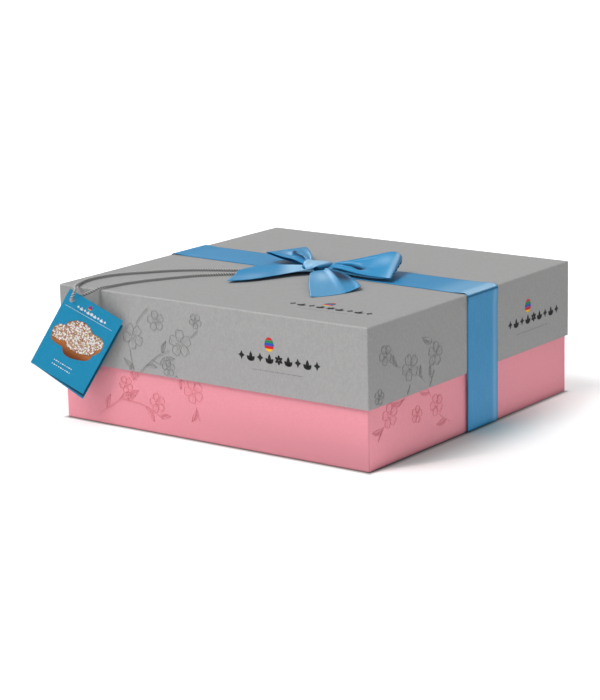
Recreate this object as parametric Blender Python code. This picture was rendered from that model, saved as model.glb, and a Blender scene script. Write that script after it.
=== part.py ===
"""A shut gift box for a dove-shaped Easter loaf, tied with a satin ribbon.

A grey lid drops over a pink base.  A ribbon goes once round the box, over the lid and
under the base, and ends in a bow.  A twisted cord runs from the knot over the front edge
of the lid and carries a folded card tag.  The box is shut, so the base is one solid.
Metres, +Z up, the origin at the middle of the underside.  The long front is at -Y.
"""

import math

import bmesh
import bpy
from mathutils import Matrix, Vector

MM = 0.001

# The box
LENGTH = 340 * MM
DEPTH = 322 * MM
HEIGHT = 124 * MM
LID_HEIGHT = 70 * MM
BOARD = 1.6 * MM
SLIDE_GAP = 0.4 * MM
TOUCH_GAP = 0.3 * MM
EDGE_ROUND = 1.2 * MM

# The ribbon that goes round the box
RIBBON_WIDTH = 48 * MM
RIBBON_THICKNESS = 0.5 * MM
RIBBON_MIDDLE_Y = 17 * MM
RIBBON_SKEW = -0.028
TOP_BEND = 1.6 * MM
BOTTOM_BEND = 2.0 * MM
CHANNEL_DEPTH = 1.05 * MM
CHANNEL_SPARE = 1.2 * MM

# The bow: each row is the middle of the ribbon, its half width, the way it is turned
# in plan and its tilt, in millimetres above the lid and degrees
BOW_THICKNESS = 0.7 * MM
KNOT_MIDDLE = (1, 1, 5.4)
KNOT_SIZE = (24, 19, 8.4)
KNOT_ROUND = 3.4
LOOP_RIGHT = [
    (13.6, 3.1, 6.6, 4.9, 90, 14),
    (29, 3, 8.4, 7.8, 89, 28),
    (49.2, 5.1, 10.2, 14.4, 100, 26),
    (66.8, 10.2, 12.4, 19.7, 105, 23),
    (76.2, 11.9, 12.1, 22.6, 112, 18),
    (78.5, 13.5, 9.8, 23, 111, 13),
    (75.1, 14.6, 6.4, 23.6, 112, 6),
    (60.2, 8.9, 5, 18.5, 107, 4),
    (37.9, 5.1, 4.4, 12.2, 97, 3),
    (13.6, 3.1, 3.4, 6, 90, 2),
]
LOOP_LEFT = [
    (-11.6, 4.1, 6.8, 5.1, 91, 8),
    (-23.9, 11.9, 9.2, 10.4, 78, 1),
    (-39.7, 20.3, 11.5, 16.5, 74, -3),
    (-55, 28.8, 12, 22, 79, -6),
    (-59.2, 30.5, 10.2, 22.6, 78, -6),
    (-57.9, 30.9, 7.5, 21.7, 76, -5),
    (-47.8, 25.6, 5.9, 19.6, 79, -3),
    (-32.6, 18.4, 4.8, 13.4, 82, -1),
    (-11.6, 4.1, 4, 4.8, 88, 4),
]
TAIL_FRONT = [
    (14.4, -10.6, 5.2, 7, 40, 4),
    (25.2, -22.1, 6.5, 13.5, 54, 2),
    (41.1, -38, 6, 19.2, 62, 1),
    (55.4, -51.8, 4.3, 22.9, 63, 2),
    (70.6, -67.7, 2.4, 25.5, 67, 3),
]
TAIL_LEFT = [
    (-7.2, -12.1, 5.3, 9.8, 129, 2),
    (-9.9, -27.4, 6.4, 18, 127, 1),
    (-18.8, -41, 6.5, 24.2, 125, 0),
    (-30.7, -54.4, 5.9, 25.3, 121, 1),
    (-42.8, -68.6, 4.5, 21.9, 114, 1),
]

# The cord: its middle line from the knot, over the lid's front edge, through the tag
# and back, in millimetres from the same origin
CORD_DIAMETER = 2.5 * MM
CORD_ROUTE = [
    (-12.4, -2.6, 126.5),
    (-18, -6.2, 126.3),
    (-27, -12.5, 125.7),
    (-40, -21.5, 125.55),
    (-62, -34, 125.55),
    (-82, -44, 125.55),
    (-101, -55, 125.55),
    (-118, -69.5, 125.55),
    (-132, -86, 125.55),
    (-143, -99.5, 125.55),
    (-150.5, -114, 125.55),
    (-154, -128, 125.55),
    (-153.8, -141, 125.55),
    (-151, -152, 125.65),
    (-147, -161, 126.2),
    (-140.3, -171.1, 127.5),
    (-132.9, -180.3, 128.2),
    (-126.8, -186.4, 127.5),
    (-125.6, -189.9, 125.6),
    (-126.3, -191.7, 122.3),
    (-128.4, -190.9, 119.2),
    (-130.3, -188, 118),
    (-131.5, -184.6, 118.4),
    (-131.8, -181.1, 119.1),
    (-129.9, -177.2, 120.2),
    (-126.2, -172.8, 121.8),
    (-123.6, -168.2, 123.3),
    (-121.3, -162.6, 125.4),
    (-119.6, -157, 125.8),
    (-118, -147, 125.55),
    (-114.8, -133, 125.55),
    (-109.5, -119.5, 125.55),
    (-103, -106.5, 125.55),
    (-84, -76, 125.55),
    (-70, -61.5, 125.55),
    (-55, -48.5, 125.55),
    (-38, -33.5, 125.55),
    (-25, -20.5, 125.6),
    (-17.5, -12.2, 126),
    (-12.4, -6.8, 126.5),
]
CORD_STEP_BENT = 2.6 * MM
CORD_STEP_STRAIGHT = 9.5 * MM
CORD_BEND_START = 13
CORD_BEND_END = 29

# The folded card tag
TAG_WIDTH = 55 * MM
TAG_LENGTH = 82 * MM
TAG_BOARD = 0.6 * MM
TAG_HOLE_FROM_FOLD = 7 * MM
TAG_HOLE_FROM_TOP = 7.5 * MM
TAG_HOLE_RADIUS = 2.1 * MM
TAG_HOLE_AT = Vector((-130.8, -186.1, 118.3)) * MM
TAG_TURN = math.radians(24)
TAG_LEAN = math.radians(31.3)
TAG_SWING = math.radians(-5.8)
TAG_OPENING = math.radians(3.4)
TAG_BACK_DROP = 6.2 * MM
TAG_BACK_WIDER = 1.8 * MM
TAG_INNER_FOLD = 1.35 * MM
TAG_FOLD_GAP = 0.36 * MM
TAG_FOLD_THICKNESS = 1.44 * MM


def clear_scene():
    """Remove the objects of the startup file."""
    for thing in list(bpy.data.objects):
        bpy.data.objects.remove(thing, do_unlink=True)


def make_material(name, colour, roughness):
    """One plain Principled material."""
    material = bpy.data.materials.new(name)
    material.use_nodes = True
    shader = material.node_tree.nodes["Principled BSDF"]
    shader.inputs["Base Color"].default_value = (*colour, 1.0)
    shader.inputs["Roughness"].default_value = roughness
    return material


def add_object(name, bm, material):
    """Turn a bmesh into a named object of the scene."""
    bmesh.ops.recalc_face_normals(bm, faces=bm.faces)
    mesh = bpy.data.meshes.new(name)
    bm.to_mesh(mesh)
    bm.free()
    thing = bpy.data.objects.new(name, mesh)
    bpy.context.collection.objects.link(thing)
    if material is not None:
        mesh.materials.append(material)
    return thing


def block(low, high):
    """A bmesh box between two corners."""
    bm = bmesh.new()
    bmesh.ops.create_cube(bm, size=1.0)
    low, high = Vector(low), Vector(high)
    size = high - low
    bmesh.ops.scale(bm, vec=size, verts=bm.verts)
    bmesh.ops.translate(bm, vec=(low + high) / 2, verts=bm.verts)
    return bm


def round_edges(bm, radius, segments, keep):
    """Round the straight edges whose middle point passes the test."""
    edges = [e for e in bm.edges if keep((e.verts[0].co + e.verts[1].co) / 2)]
    bmesh.ops.bevel(
        bm, geom=edges, offset=radius, segments=segments, profile=0.5, affect="EDGES"
    )


def cut_away(thing, cutter):
    """Take the cutter's shape out of an object."""
    cutter.hide_render = True
    cutter.display_type = "WIRE"
    cut = thing.modifiers.new("Cut", "BOOLEAN")
    cut.operation = "DIFFERENCE"
    cut.solver = "EXACT"
    cut.object = cutter


def ribbon_middle(x):
    """The y of the ribbon's middle line at a place along the box."""
    return RIBBON_MIDDLE_Y + RIBBON_SKEW * x


def build_base(material):
    """The base, inset by the lid's board, with a shallow channel under the ribbon."""
    inset = BOARD + SLIDE_GAP
    half_x = LENGTH / 2 - inset
    half_y = DEPTH / 2 - inset
    top = HEIGHT - BOARD - TOUCH_GAP
    bm = block((-half_x, -half_y, 0), (half_x, half_y, top))
    round_edges(bm, EDGE_ROUND, 2, lambda p: p.z < top - BOARD)
    base = add_object("box_base", bm, material)

    reach = LENGTH
    half_width = RIBBON_WIDTH / 2 + CHANNEL_SPARE
    channel = block((-reach, -half_width, -BOARD), (reach, half_width, CHANNEL_DEPTH))
    for vertex in channel.verts:
        vertex.co.y += ribbon_middle(vertex.co.x)
    cut_away(base, add_object("channel_cutter", channel, None))


def build_lid(material):
    """The lid: a board top and four board sides in one piece."""
    bottom = HEIGHT - LID_HEIGHT
    bm = block((-LENGTH / 2, -DEPTH / 2, bottom), (LENGTH / 2, DEPTH / 2, HEIGHT))
    round_edges(bm, EDGE_ROUND, 3, lambda p: p.z > bottom + BOARD)
    lid = add_object("box_lid", bm, material)
    inner = block(
        (-LENGTH / 2 + BOARD, -DEPTH / 2 + BOARD, bottom - BOARD),
        (LENGTH / 2 - BOARD, DEPTH / 2 - BOARD, HEIGHT - BOARD),
    )
    cut_away(lid, add_object("lid_cutter", inner, None))


def corner_arc(centre, radius, start, end, steps=4):
    """Points of an arc in the x, z plane, angles in degrees."""
    points = []
    for index in range(steps + 1):
        angle = math.radians(start + (end - start) * index / steps)
        x = centre[0] + radius * math.cos(angle)
        z = centre[1] + radius * math.sin(angle)
        points.append((x, z))
    return points


def ribbon_outline(offset):
    """The ribbon's closed path round the box, seen along y."""
    side = LENGTH / 2 + TOUCH_GAP + offset
    top = HEIGHT + TOUCH_GAP + offset
    bottom = CHANNEL_DEPTH - TOUCH_GAP - offset
    top_bend = TOP_BEND + offset
    low_bend = BOTTOM_BEND + offset
    path = corner_arc((side - top_bend, top - top_bend), top_bend, 90, 0)
    path += corner_arc((side - low_bend, bottom + low_bend), low_bend, 0, -90)
    path += corner_arc((low_bend - side, bottom + low_bend), low_bend, -90, -180)
    path += corner_arc((top_bend - side, top - top_bend), top_bend, 180, 90)
    return path


def build_ribbon(material):
    """The closed band of ribbon, once round the box."""
    bm = bmesh.new()
    rings = []
    for offset in (0.0, RIBBON_THICKNESS):
        for side in (-0.5, 0.5):
            ring = []
            for x, z in ribbon_outline(offset):
                y = ribbon_middle(x) + side * RIBBON_WIDTH
                ring.append(bm.verts.new((x, y, z)))
            rings.append(ring)
    inner_front, inner_back, outer_front, outer_back = rings
    pairs = [
        (inner_front, inner_back),
        (inner_back, outer_back),
        (outer_back, outer_front),
        (outer_front, inner_front),
    ]
    count = len(inner_front)
    for first, second in pairs:
        for i in range(count):
            j = (i + 1) % count
            bm.faces.new((first[i], first[j], second[j], second[i]))
    add_object("ribbon_band", bm, material)


def smooth(rows, steps):
    """Points of a smooth curve through the rows, with the same number a span."""
    padded = [rows[0], *rows, rows[-1]]
    points = []
    for span in range(len(rows) - 1):
        a, b, c, d = padded[span:span + 4]
        last = span == len(rows) - 2
        for index in range(steps + (1 if last else 0)):
            t = index / steps
            point = []
            for pa, pb, pc, pd in zip(a, b, c, d):
                value = 2 * pb + (pc - pa) * t
                value += (2 * pa - 5 * pb + 4 * pc - pd) * t ** 2
                value += (3 * pb - pa - 3 * pc + pd) * t ** 3
                point.append(value / 2)
            points.append(tuple(point))
    return points


def ribbon_strip(name, rows, material, spans, across, arch):
    """A stretch of ribbon through its rows, arched a little across its width."""
    bm = bmesh.new()
    grid = []
    for x, y, z, half, turn, tilt in smooth(rows, spans):
        turn, tilt = math.radians(turn), math.radians(tilt)
        side = Vector((math.cos(turn), math.sin(turn), 0)) * math.cos(tilt)
        side.z = math.sin(tilt)
        middle = Vector((x, y, z))
        line = []
        for index in range(across + 1):
            v = 2 * index / across - 1
            point = middle + side * (half * v)
            point.z += arch * half * (1 - v * v)
            point = point * MM
            point.z += HEIGHT
            line.append(bm.verts.new(point))
        grid.append(line)
    for first, second in zip(grid, grid[1:]):
        for i in range(across):
            bm.faces.new((first[i], first[i + 1], second[i + 1], second[i]))
    strip = add_object(name, bm, material)
    wall = strip.modifiers.new("Thickness", "SOLIDIFY")
    wall.thickness = BOW_THICKNESS
    wall.offset = 0.0
    wall.use_even_offset = False
    strip.data.shade_smooth()
    return strip


def build_bow(material):
    """The knot, the two loops and the two tails."""
    half = Vector(KNOT_SIZE) / 2
    middle = Vector(KNOT_MIDDLE)
    bm = block(middle - half, middle + half)
    round_edges(bm, KNOT_ROUND, 4, lambda p: True)
    bmesh.ops.scale(bm, vec=(MM, MM, MM), verts=bm.verts)
    bmesh.ops.translate(bm, vec=(0, 0, HEIGHT), verts=bm.verts)
    knot = add_object("bow_knot", bm, material)
    knot.data.shade_smooth()
    ribbon_strip("bow_loop_right", LOOP_RIGHT, material, spans=4, across=8, arch=0.0)
    ribbon_strip("bow_loop_left", LOOP_LEFT, material, spans=4, across=8, arch=0.0)
    ribbon_strip("bow_tail_front", TAIL_FRONT, material, spans=4, across=8, arch=0.07)
    ribbon_strip("bow_tail_left", TAIL_LEFT, material, spans=4, across=8, arch=0.05)


def spaced(points, step):
    """Points of a fine line read again at even steps, both ends kept."""
    length = sum((b - a).length for a, b in zip(points, points[1:]))
    count = max(1, round(length / step))
    wanted = [length * index / count for index in range(count + 1)]
    result = [points[0]]
    walked = 0.0
    target = 1
    for a, b in zip(points, points[1:]):
        run = (b - a).length
        while target < count and walked + run >= wanted[target]:
            result.append(a.lerp(b, (wanted[target] - walked) / run))
            target += 1
        walked += run
    result.append(points[-1])
    return result


def cord_points():
    """The cord's middle line, with its points close together where it bends."""
    fine = 12
    line = [Vector(point) * MM for point in smooth(CORD_ROUTE, fine)]
    first, last = (CORD_BEND_START - 1) * fine, (CORD_BEND_END - 1) * fine
    points = spaced(line[:first + 1], CORD_STEP_STRAIGHT)
    points += spaced(line[first:last + 1], CORD_STEP_BENT)[1:]
    points += spaced(line[last:], CORD_STEP_STRAIGHT)[1:]
    return points


def build_cord(material):
    """The twisted cord as one round tube."""
    curve = bpy.data.curves.new("tag_cord", "CURVE")
    curve.dimensions = "3D"
    curve.bevel_depth = CORD_DIAMETER / 2
    curve.bevel_resolution = 2
    curve.render_resolution_u = 0
    curve.use_fill_caps = True
    points = cord_points()
    spline = curve.splines.new("POLY")
    spline.points.add(len(points) - 1)
    for slot, point in zip(spline.points, points):
        slot.co = (*point, 1.0)
    cord = bpy.data.objects.new("tag_cord", curve)
    curve.materials.append(material)
    bpy.context.collection.objects.link(cord)


def tag_matrix():
    """The tag's own frame: x from the fold, y down the fold, z back to the box."""
    across = Vector((math.cos(TAG_TURN), math.sin(TAG_TURN), 0))
    outward = Vector((math.sin(TAG_TURN), -math.cos(TAG_TURN), 0))
    down = outward * math.sin(TAG_SWING) - Vector((0, 0, math.cos(TAG_SWING)))
    short_side = across * math.cos(TAG_LEAN) + down * math.sin(TAG_LEAN)
    long_side = down * math.cos(TAG_LEAN) - across * math.sin(TAG_LEAN)
    hole = short_side * TAG_HOLE_FROM_FOLD + long_side * TAG_HOLE_FROM_TOP
    backward = short_side.cross(long_side)
    frame = Matrix((short_side, long_side, backward)).transposed().to_4x4()
    return Matrix.Translation(TAG_HOLE_AT - hole) @ frame


def build_tag(material):
    """A card folded once down its long side, with the two leaves a little apart."""
    near = TAG_BOARD + TAG_FOLD_GAP
    far = near + TAG_WIDTH * math.tan(TAG_OPENING)
    back_edge = TAG_WIDTH + TAG_BACK_WIDER
    outline = [
        (0.0, TAG_FOLD_THICKNESS / 2, False),
        (TAG_BOARD / 2, 0.0, False),
        (TAG_WIDTH, 0.0, False),
        (TAG_WIDTH, TAG_BOARD, False),
        (TAG_INNER_FOLD, TAG_BOARD, False),
        (TAG_INNER_FOLD, near, True),
        (back_edge, far, True),
        (back_edge, far + TAG_BOARD, True),
        (TAG_BOARD / 2, TAG_FOLD_THICKNESS, False),
    ]
    bm = bmesh.new()
    rings = []
    for y in (0.0, TAG_LENGTH):
        ring = []
        for x, depth, back in outline:
            drop = TAG_BACK_DROP * x / TAG_WIDTH if back else 0.0
            ring.append(bm.verts.new((x, y + drop, depth)))
        rings.append(ring)
    count = len(outline)
    for i in range(count):
        j = (i + 1) % count
        bm.faces.new((rings[0][i], rings[0][j], rings[1][j], rings[1][i]))
    bm.faces.new(rings[0])
    bm.faces.new(reversed(rings[1]))
    frame = tag_matrix()
    bm.transform(frame)
    tag = add_object("tag_card", bm, material)

    punch = bmesh.new()
    bmesh.ops.create_cone(
        punch, cap_ends=True, segments=20, radius1=TAG_HOLE_RADIUS,
        radius2=TAG_HOLE_RADIUS, depth=TAG_WIDTH / 2,
    )
    place = Matrix.Translation((TAG_HOLE_FROM_FOLD, TAG_HOLE_FROM_TOP, 0))
    punch.transform(frame @ place)
    cut_away(tag, add_object("hole_cutter", punch, None))


clear_scene()
grey_board = make_material("grey_board", (0.36, 0.36, 0.355), 0.8)
pink_board = make_material("pink_board", (0.83, 0.33, 0.38), 0.7)
blue_satin = make_material("blue_satin", (0.09, 0.31, 0.57), 0.35)
grey_cord = make_material("grey_cord", (0.17, 0.17, 0.17), 0.75)
blue_card = make_material("blue_card", (0.03, 0.28, 0.51), 0.5)
build_base(pink_board)
build_lid(grey_board)
build_ribbon(blue_satin)
build_bow(blue_satin)
build_cord(grey_cord)
build_tag(blue_card)
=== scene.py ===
"""The looks of a shut gift box for a dove-shaped Easter loaf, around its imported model.

Metres, +Z up, the long front at -Y.  The sections follow the box as it is put together:
cord, base, lid, prints, ribbon round the box, bow, tag, and then the studio it stands in.
"""

import math
import random

import bmesh
import bpy
from mathutils import Matrix, Vector, noise


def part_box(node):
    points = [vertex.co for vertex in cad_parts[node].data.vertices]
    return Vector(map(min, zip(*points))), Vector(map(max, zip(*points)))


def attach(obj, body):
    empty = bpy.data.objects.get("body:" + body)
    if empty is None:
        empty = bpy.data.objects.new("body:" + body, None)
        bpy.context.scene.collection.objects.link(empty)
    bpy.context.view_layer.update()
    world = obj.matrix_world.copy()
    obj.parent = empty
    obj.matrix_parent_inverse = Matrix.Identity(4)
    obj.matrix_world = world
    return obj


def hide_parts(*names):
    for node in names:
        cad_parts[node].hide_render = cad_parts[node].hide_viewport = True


MM = 0.001
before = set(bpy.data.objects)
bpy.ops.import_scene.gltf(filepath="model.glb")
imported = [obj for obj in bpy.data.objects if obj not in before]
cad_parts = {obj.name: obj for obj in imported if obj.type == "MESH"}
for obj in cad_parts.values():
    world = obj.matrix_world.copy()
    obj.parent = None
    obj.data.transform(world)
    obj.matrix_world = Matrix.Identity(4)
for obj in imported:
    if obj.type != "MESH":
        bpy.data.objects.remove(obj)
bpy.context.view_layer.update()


# Camera
# A long lens a little above the box, turned towards its front right corner and level
# but for a slight roll.
CAMERA_AT = Vector((1.2308, -1.6535, 0.5467))
CAMERA_TURN = math.radians(37.135)
CAMERA_DOWN = math.radians(13.512)
CAMERA_ROLL = math.radians(-1.3)
CAMERA_LENS = 118.61


def add_object(name, data):
    """A new object in the scene, at the origin."""
    thing = bpy.data.objects.new(name, data)
    bpy.context.collection.objects.link(thing)
    return thing


camera_data = bpy.data.cameras.new("camera")
camera_data.lens = CAMERA_LENS
camera = add_object("camera", camera_data)
aim = Matrix.Rotation(CAMERA_TURN, 4, "Z")
aim = aim @ Matrix.Rotation(math.pi / 2 - CAMERA_DOWN, 4, "X")
aim = aim @ Matrix.Rotation(CAMERA_ROLL, 4, "Z")
camera.matrix_world = Matrix.Translation(CAMERA_AT) @ aim
bpy.context.scene.camera = camera


# Cord
# A limp grey cord of two strands twisted together.  It is tied in under the bow's knot,
# lies over the lid, drops over the front edge, passes through the tag and comes back.
CORD_DIAMETER = 2.5 * MM
CORD_STRAND_RADIUS = 0.72 * MM
CORD_STRAND_OFFSET = 0.68 * MM
CORD_TWIST = 4.8 * MM
CORD_STEPS_A_TWIST = 14
# Out from the middle line, the painted shade of the grooves gives way to the painted light of the tops,
# from CORD_GROOVE to CORD_CREST.
CORD_GROOVE = CORD_STRAND_OFFSET * 1.15
CORD_CREST = CORD_DIAMETER * 0.54
FIBRES_A_TWIST = 5
CORD_COLOUR = (0.56, 0.56, 0.55)
CORD_GROOVE_PAINTED_SHADE = (0.07, 0.07, 0.07)
ON_LID = 125.55
CORD_ROUTE = [
    (-12.4, -2.6, 126.5), (-18, -6.2, 126.3), (-27, -12.5, 125.7), (-40, -21.5, ON_LID),
    (-62, -34, ON_LID), (-82, -44, ON_LID), (-101, -55, ON_LID), (-118, -69.5, ON_LID),
    (-132, -86, ON_LID), (-143, -99.5, ON_LID), (-150.5, -114, ON_LID),
    (-154, -128, ON_LID), (-153.8, -141, ON_LID), (-151, -152, 125.65), (-147, -161, 126.2),
    (-140.3, -171.1, 127.5), (-132.9, -180.3, 128.2), (-126.8, -186.4, 127.5),
    (-125.6, -189.9, 125.6), (-126.3, -191.7, 122.3), (-128.4, -190.9, 119.2),
    (-130.3, -188, 118), (-131.5, -184.6, 118.4), (-131.8, -181.1, 119.1),
    (-129.9, -177.2, 120.2), (-126.2, -172.8, 121.8), (-123.6, -168.2, 123.3),
    (-121.3, -162.6, 125.4), (-119.6, -157, 125.8), (-118, -147, ON_LID),
    (-114.8, -133, ON_LID), (-109.5, -119.5, ON_LID), (-103, -106.5, ON_LID),
    (-84, -76, ON_LID), (-70, -61.5, ON_LID), (-55, -48.5, ON_LID), (-38, -33.5, ON_LID),
    (-25, -20.5, 125.6), (-17.5, -12.2, 126), (-12.4, -6.8, 126.5),
]


def add_node(tree, kind, inputs=(), **settings):
    """Add a node with its settings, and give its inputs their values or links."""
    node = tree.nodes.new(kind)
    for name, value in settings.items():
        setattr(node, name, value)
    for name, value in dict(inputs).items():
        socket = node.inputs[name]
        if isinstance(value, bpy.types.NodeSocket):
            tree.links.new(value, socket)
        else:
            socket.default_value = value
    return node


def made(tree, kind, inputs=(), **settings):
    """The first output of a new node."""
    node = add_node(tree, kind, inputs, **settings)
    return node.outputs[0]


def maths(tree, operation, first, second=0.0, third=0.0):
    """The output of a Math node."""
    inputs = {0: first, 1: second, 2: third}
    return made(tree, "ShaderNodeMath", inputs, operation=operation)


def product(tree, *values):
    """The product of several values."""
    result = values[0]
    for value in values[1:]:
        result = maths(tree, "MULTIPLY", result, value)
    return result


def start_tree(name, sizes):
    """A Geometry Nodes tree with named size inputs, and its input and output nodes."""
    tree = bpy.data.node_groups.new(name, "GeometryNodeTree")
    tree.interface.new_socket(name="Geometry", in_out="INPUT", socket_type="NodeSocketGeometry")
    for size in sizes:
        kind = "NodeSocketFloat"
        if size in ("Material", "Second Material", "Third Material"):
            kind = "NodeSocketMaterial"
        elif size == "Seed":
            kind = "NodeSocketInt"
        tree.interface.new_socket(name=size, in_out="INPUT", socket_type=kind)
    tree.interface.new_socket(name="Geometry", in_out="OUTPUT", socket_type="NodeSocketGeometry")
    return tree, add_node(tree, "NodeGroupInput"), add_node(tree, "NodeGroupOutput")


def end_tree(tree, outside, geometry, material=None):
    """Make a tree's result real, give it its material and hand it out."""
    result = made(tree, "GeometryNodeRealizeInstances", {"Geometry": geometry})
    if material is not None:
        result = made(tree, "GeometryNodeSetMaterial", {"Geometry": result, "Material": material})
    tree.links.new(result, outside.inputs[0])
    return tree


def grow(source, tree, values, name):
    """Run a tree on an object with these values and keep the result as a plain mesh."""
    modifier = source.modifiers.new("grow", "NODES")
    modifier.node_group = tree
    for item in tree.interface.items_tree:
        if item.in_out == "INPUT" and item.name in values:
            modifier[item.identifier] = values[item.name]
    graph = bpy.context.evaluated_depsgraph_get()
    mesh = bpy.data.meshes.new_from_object(source.evaluated_get(graph))
    mesh.name = name
    source.modifiers.remove(modifier)
    bpy.data.objects.remove(source)
    return add_object(name, mesh)


def wire(name, lines):
    """A curve object of open lines, for a tree to work on."""
    curve = bpy.data.curves.new(name, "CURVE")
    curve.dimensions = "3D"
    for line in lines:
        spline = curve.splines.new("POLY")
        spline.points.add(len(line) - 1)
        for slot, point in zip(spline.points, line):
            slot.co = (*point, 1.0)
    return add_object(name, curve)


def smooth(rows, steps):
    """Points of a smooth curve through the rows, with the same number a span."""
    padded = [rows[0], *rows, rows[-1]]
    points = []
    for span in range(len(rows) - 1):
        a, b, c, d = padded[span:span + 4]
        last = span == len(rows) - 2
        for index in range(steps + (1 if last else 0)):
            t = index / steps
            point = []
            for pa, pb, pc, pd in zip(a, b, c, d):
                value = 2 * pb + (pc - pa) * t
                value += (2 * pa - 5 * pb + 4 * pc - pd) * t ** 2
                value += (3 * pb - pa - 3 * pc + pd) * t ** 3
                point.append(value / 2)
            points.append(tuple(point))
    return points


def new_material(name, roughness):
    """A material and its tree and shader."""
    material = bpy.data.materials.new(name)
    material.use_nodes = True
    shader = material.node_tree.nodes["Principled BSDF"]
    shader.inputs["Roughness"].default_value = roughness
    return material, material.node_tree, shader


def blend(tree, factor, first, second):
    """The output of a Mix node for colours."""
    node = add_node(tree, "ShaderNodeMix", data_type="RGBA", blend_type="MIX")
    for socket, value in ((0, factor), (6, first), (7, second)):
        if isinstance(value, bpy.types.NodeSocket):
            tree.links.new(value, node.inputs[socket])
        elif isinstance(value, (int, float)):
            node.inputs[socket].default_value = value
        else:
            node.inputs[socket].default_value = (*value, 1.0)
    return node.outputs[2]


def cord_tree():
    """Two strands that wind round the cord's middle line."""
    sizes = ["Strand Radius", "Strand Offset", "Twist Length", "Step", "Material"]
    tree, inside, outside = start_tree("twisted_cord", sizes)
    fine = made(
        tree, "GeometryNodeResampleCurve",
        {"Curve": inside.outputs["Geometry"], "Length": inside.outputs["Step"]},
        mode="LENGTH",
    )
    along = add_node(tree, "GeometryNodeSplineParameter").outputs["Length"]
    turns = maths(tree, "DIVIDE", along, inside.outputs["Twist Length"])
    normal = made(tree, "GeometryNodeInputNormal")
    tangent = made(tree, "GeometryNodeInputTangent")
    sideways = made(tree, "ShaderNodeVectorMath", {0: tangent, 1: normal}, operation="CROSS_PRODUCT")
    marked = made(
        tree, "GeometryNodeStoreNamedAttribute",
        {"Geometry": fine, "Name": "turns", "Value": turns},
        data_type="FLOAT", domain="POINT",
    )
    ring = made(
        tree, "GeometryNodeCurvePrimitiveCircle",
        {"Resolution": 9, "Radius": inside.outputs["Strand Radius"]},
    )
    join = add_node(tree, "GeometryNodeJoinGeometry")
    for phase in (0.0, math.pi):
        angle = maths(tree, "MULTIPLY_ADD", turns, math.tau, phase)
        parts = []
        for axis, wave in ((normal, "COSINE"), (sideways, "SINE")):
            reach = product(tree, maths(tree, wave, angle), inside.outputs["Strand Offset"])
            parts.append(made(
                tree, "ShaderNodeVectorMath", {0: axis, "Scale": reach}, operation="SCALE"
            ))
        shift = made(tree, "ShaderNodeVectorMath", {0: parts[0], 1: parts[1]})
        wound = made(tree, "GeometryNodeSetPosition", {"Geometry": marked, "Offset": shift})
        strand = made(
            tree, "GeometryNodeCurveToMesh", {"Curve": wound, "Profile Curve": ring, "Fill Caps": True}
        )
        tree.links.new(strand, join.inputs[0])
    middle = made(tree, "GeometryNodeCurveToMesh", {"Curve": fine})
    reach = add_node(tree, "GeometryNodeProximity", {0: middle}, target_element="EDGES")
    measured = made(
        tree, "GeometryNodeStoreNamedAttribute",
        {"Geometry": join.outputs[0], "Name": "reach", "Value": reach.outputs["Distance"]},
        data_type="FLOAT", domain="POINT",
    )
    soft = made(tree, "GeometryNodeSetShadeSmooth", {"Geometry": measured})
    return end_tree(tree, outside, soft, inside.outputs["Material"])


def own_place(tree):
    """Where a point is on the finished object."""
    return add_node(tree, "ShaderNodeTexCoord").outputs["Object"]


def speckle(tree, place, scale, detail):
    """Soft random mottling."""
    inputs = {"Vector": place, "Scale": scale, "Detail": detail}
    return add_node(tree, "ShaderNodeTexNoise", inputs).outputs["Fac"]


def level(tree, value, low=0.0, high=1.0, first=0.0, last=1.0):
    """From first to last as a value goes from low to high, and held beyond."""
    inputs = {"Value": value, "From Min": low, "From Max": high, "To Min": first, "To Max": last}
    return made(tree, "ShaderNodeMapRange", inputs)


def cord_material():
    """Grey yarn with a painted shade in the grooves between its strands and painted light on their tops."""
    material, tree, shader = new_material("cord_yarn", 0.85)
    turns = add_node(tree, "ShaderNodeAttribute", attribute_name="turns").outputs["Fac"]
    reach = add_node(tree, "ShaderNodeAttribute", attribute_name="reach").outputs["Fac"]
    fluff = speckle(tree, own_place(tree), 2600.0, 2.0)
    fibres = maths(tree, "SINE", product(tree, turns, math.tau * FIBRES_A_TWIST))
    rough = maths(tree, "MULTIPLY_ADD", fibres, 0.12, fluff)
    # Painted shade in the grooves, painted light on the strands' tops.
    top = level(tree, reach, CORD_GROOVE, CORD_CREST)
    tone = product(tree, top, maths(tree, "ADD", rough, 0.35))
    colour = blend(tree, tone, CORD_GROOVE_PAINTED_SHADE, CORD_COLOUR)
    bump = add_node(tree, "ShaderNodeBump", {"Height": rough, "Strength": 0.5, "Distance": 0.15 * MM})
    tree.links.new(colour, shader.inputs["Base Color"])
    tree.links.new(bump.outputs[0], shader.inputs["Normal"])
    shader.inputs["Sheen Weight"].default_value = 0.2
    return material


cord_line = [Vector(point) * MM for point in smooth(CORD_ROUTE, 12)]
cord = grow(
    wire("cord_line", [cord_line]),
    cord_tree(),
    {
        "Strand Radius": CORD_STRAND_RADIUS,
        "Strand Offset": CORD_STRAND_OFFSET,
        "Twist Length": CORD_TWIST,
        "Step": CORD_TWIST / CORD_STEPS_A_TWIST,
        "Material": cord_material(),
    },
    "twisted_cord",
)
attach(cord, "root")
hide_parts("tag_cord")


# Base
# The lower box is stiff board covered with smooth matt pink paper, a little smaller all
# round than the lid that slides over it.
PINK = (0.83, 0.318, 0.375)
PINK_DEEP = (0.775, 0.29, 0.345)
# Painted shade towards the foot of the front's right half, and painted light on the right face.
PINK_PAINTED_SHADE = (0.60, 0.238, 0.278)
PINK_SIDE_PAINTED_LIGHT = (0.97, 0.375, 0.44)
PINK_SHADE_TOP = 46 * MM
PINK_SHADE_FOOT = 4 * MM
base_low, base_high = (Vector(corner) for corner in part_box("box_base"))


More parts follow.
